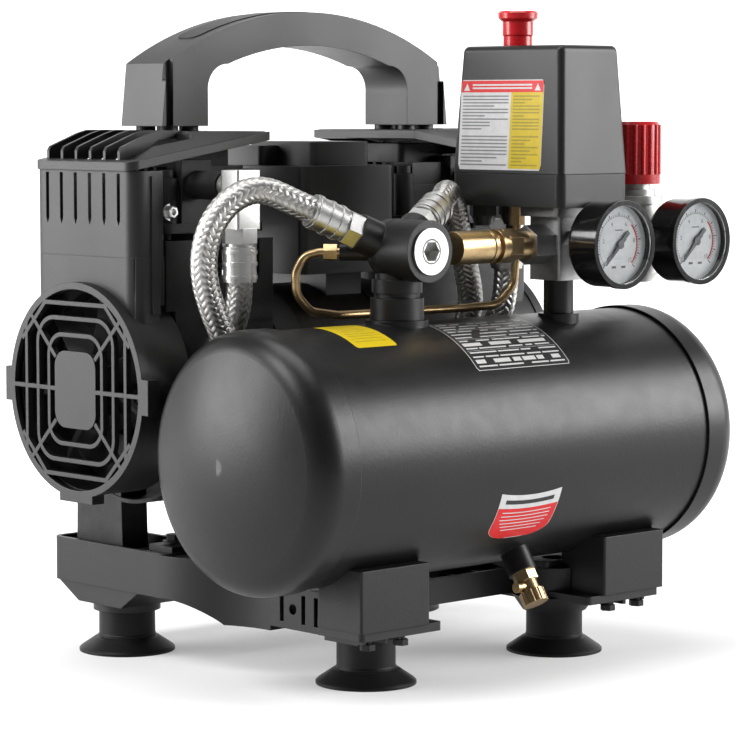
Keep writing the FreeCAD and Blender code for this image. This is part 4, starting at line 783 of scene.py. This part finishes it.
def dial_numbers(name, place):
    """The numbers 0 to 10, set inside the scale."""
    ring = 13.6
    points, faces = [], []
    for value in range(0, 11, 2):
        data = bpy.data.curves.new(name, "FONT")
        data.body = str(value)
        data.size = 3.6 * MM
        data.align_x = "CENTER"
        data.align_y = "CENTER"
        text = bpy.data.objects.new(name, data)
        mesh = bpy.data.meshes.new_from_object(text)
        angle = DIAL_FIRST - DIAL_SWEEP * value / 10
        spot = place(ring * math.cos(angle), ring * math.sin(angle), 0.14)
        mesh.transform(Matrix.Translation(spot) @ Matrix.Rotation(math.radians(90), 4, "X"))
        start = len(points)
        points += [v.co.copy() for v in mesh.vertices]
        faces += [tuple(start + i for i in p.vertices) for p in mesh.polygons]
        bpy.data.meshes.remove(mesh)
        bpy.data.objects.remove(text)
        bpy.data.curves.remove(data)
    new_mesh(name, points, faces, [INKS["dial_black"]], smooth=False)


def gauge_dial(name, x, red_from):
    """A white dial: 50 ticks, a red stretch from that share of the scale, three blank bars and numbers."""
    dial = Print(name, on_dial(x))
    hole, rim = 1.35, 23.75
    scale, short_tick, long_tick = 17.0, 18.4, 19.6
    last = DIAL_FIRST - DIAL_SWEEP
    dial.arc("dial_white", hole, rim, 0, 2 * math.pi, 0.05, 64)
    dial.arc("dial_black", scale, scale + 0.2, DIAL_FIRST, last, 0.12, 60)
    dial.arc("red_ink", 15.6, 16.7, DIAL_FIRST - DIAL_SWEEP * red_from, last, 0.12, 30)
    for i in range(51):
        angle = DIAL_FIRST - DIAL_SWEEP * i / 50
        half, end = (0.010, short_tick) if i % 5 else (0.019, long_tick)
        dial.arc("dial_black", scale, end, angle + half, angle - half, 0.12, 1)
    for u in (-4.2, 4.2):
        dial.bar("dial_black", u - 1.9, u + 1.9, -14.3, -12.9, 0.12, 1)
    dial.bar("dial_black", -3.4, 3.4, 8.4, 9.0, 0.12, 1)
    made = dial.make()
    made.data.polygons.foreach_set("use_smooth", [False] * len(made.data.polygons))
    dial_numbers(name + "_numbers", dial.place)


def needle_tail(name, x, body):
    """The wide tail of a pointer at rest, opposite its tip."""
    along = Vector((1, 0, 1)).normalized()
    across = Vector((1, 0, -1)).normalized()
    points = []
    for depth in (4.25, 4.85):
        for reach, half in ((4.5, 1.0), (4.5, -1.0), (10.5, -1.35), (10.5, 1.35)):
            spot = along * reach + across * half
            points.append(at(x + spot.x, GAUGE_Y + depth, GAUGE_Z + spot.z))
    faces = [(0, 1, 2, 3), (7, 6, 5, 4), (0, 4, 5, 1), (1, 5, 6, 2), (2, 6, 7, 3), (3, 7, 4, 0)]
    new_mesh(name, points, faces, [FINISHES["needle_black"]], body=body, smooth=False)


gauge_dial("dial_tank", TANK_GAUGE_X, 0.66)
gauge_dial("dial_outlet", OUTLET_GAUGE_X, 0.66)
needle_tail("needle_tail_tank", TANK_GAUGE_X, "needle_t")
needle_tail("needle_tail_outlet", OUTLET_GAUGE_X, "needle_o")


# ---------- stage and light ----------

def stage_material():
    """Matt pale paper with a faint fibre: its glow grows behind the object and ends nearer the camera."""
    g = Graph("studio_paper", specular=0.1)
    fibre = g.noise(3, 4, 0.6)
    g.relief(fibre, 0.02)
    dot = g.node("ShaderNodeVectorMath", {0: g.place, 1: AWAY}, operation="DOT_PRODUCT")
    distance = dot.outputs["Value"]
    rise = g.remap(distance, 0.05, 0.75, 0.30, 0.95)
    glow = g.math("MULTIPLY", rise, g.remap(distance, -0.50, -0.34, 0, 1))
    paper = g.blend(g.remap(g.noise(300, 3, 0.5), 0.3, 0.7, 0, 1), grey(0.60), grey(0.62))
    g.set("Emission Color", (1, 1, 1, 1))
    g.give(g.shader.inputs["Emission Strength"], glow)
    return g.finish(paper, g.remap(fibre, 0.3, 0.7, 0.75, 0.9))


def make_stage():
    """One sheet of pale paper that curves up behind the object."""
    turn, front, depth, height, half_width = 1.2, 3.5, 3.2, 3.6, 5
    bend = [math.radians(90 * i / 16) for i in range(1, 17)]
    profile = [(-front, 0.0), (depth - turn, 0.0)]
    profile += [(depth - turn + turn * math.sin(a), turn - turn * math.cos(a)) for a in bend]
    profile.append((depth, height))
    across = Vector((AWAY.y, -AWAY.x, 0))
    points, faces = [], []
    for along, up in profile:
        for side in (-half_width, half_width):
            points.append(AWAY * along + across * side + Z * up)
    for i in range(len(profile) - 1):
        a = 2 * i
        faces.append((a, a + 1, a + 3, a + 2))
    mesh = bpy.data.meshes.new("studio_paper")
    mesh.from_pydata([tuple(p) for p in points], [], faces)
    mesh.materials.append(stage_material())
    mesh.polygons.foreach_set("use_smooth", [True] * len(faces))
    paper = bpy.data.objects.new("studio_paper", mesh)
    bpy.context.scene.collection.objects.link(paper)


def soft_light(name, place, target, size, power):
    """A white soft box of size (width, height) in metres and power in watts."""
    data = bpy.data.lights.new(name, "AREA")
    data.shape = "RECTANGLE"
    data.size, data.size_y = size
    data.energy = power
    light = bpy.data.objects.new(name, data)
    light.location = place
    light.rotation_euler = (Vector(target) - Vector(place)).to_track_quat("-Z", "Y").to_euler()
    bpy.context.scene.collection.objects.link(light)


make_stage()
soft_light("key_left", (-1.80, 1.55, 0.70), (0, 0, 0.20), (1.5, 1.3), 60)
soft_light("high_left", (-1.45, 0.25, 1.85), (0, 0, 0.15), (0.9, 0.9), 32)
soft_light("key_right", (1.60, -1.45, 0.89), (0, 0, 0.25), (1.3, 1.25), 64)
soft_light("top", (0.15, 0.1, 2.5), (0, 0, 0.1), (1.7, 1.3), 34)
world = bpy.data.worlds.new("studio")
world.use_nodes = True
world.node_tree.nodes["Background"].inputs["Color"].default_value = (1, 1, 1, 1)
world.node_tree.nodes["Background"].inputs["Strength"].default_value = 0.09
bpy.context.scene.world = world
bpy.context.scene.view_settings.view_transform = "Standard"
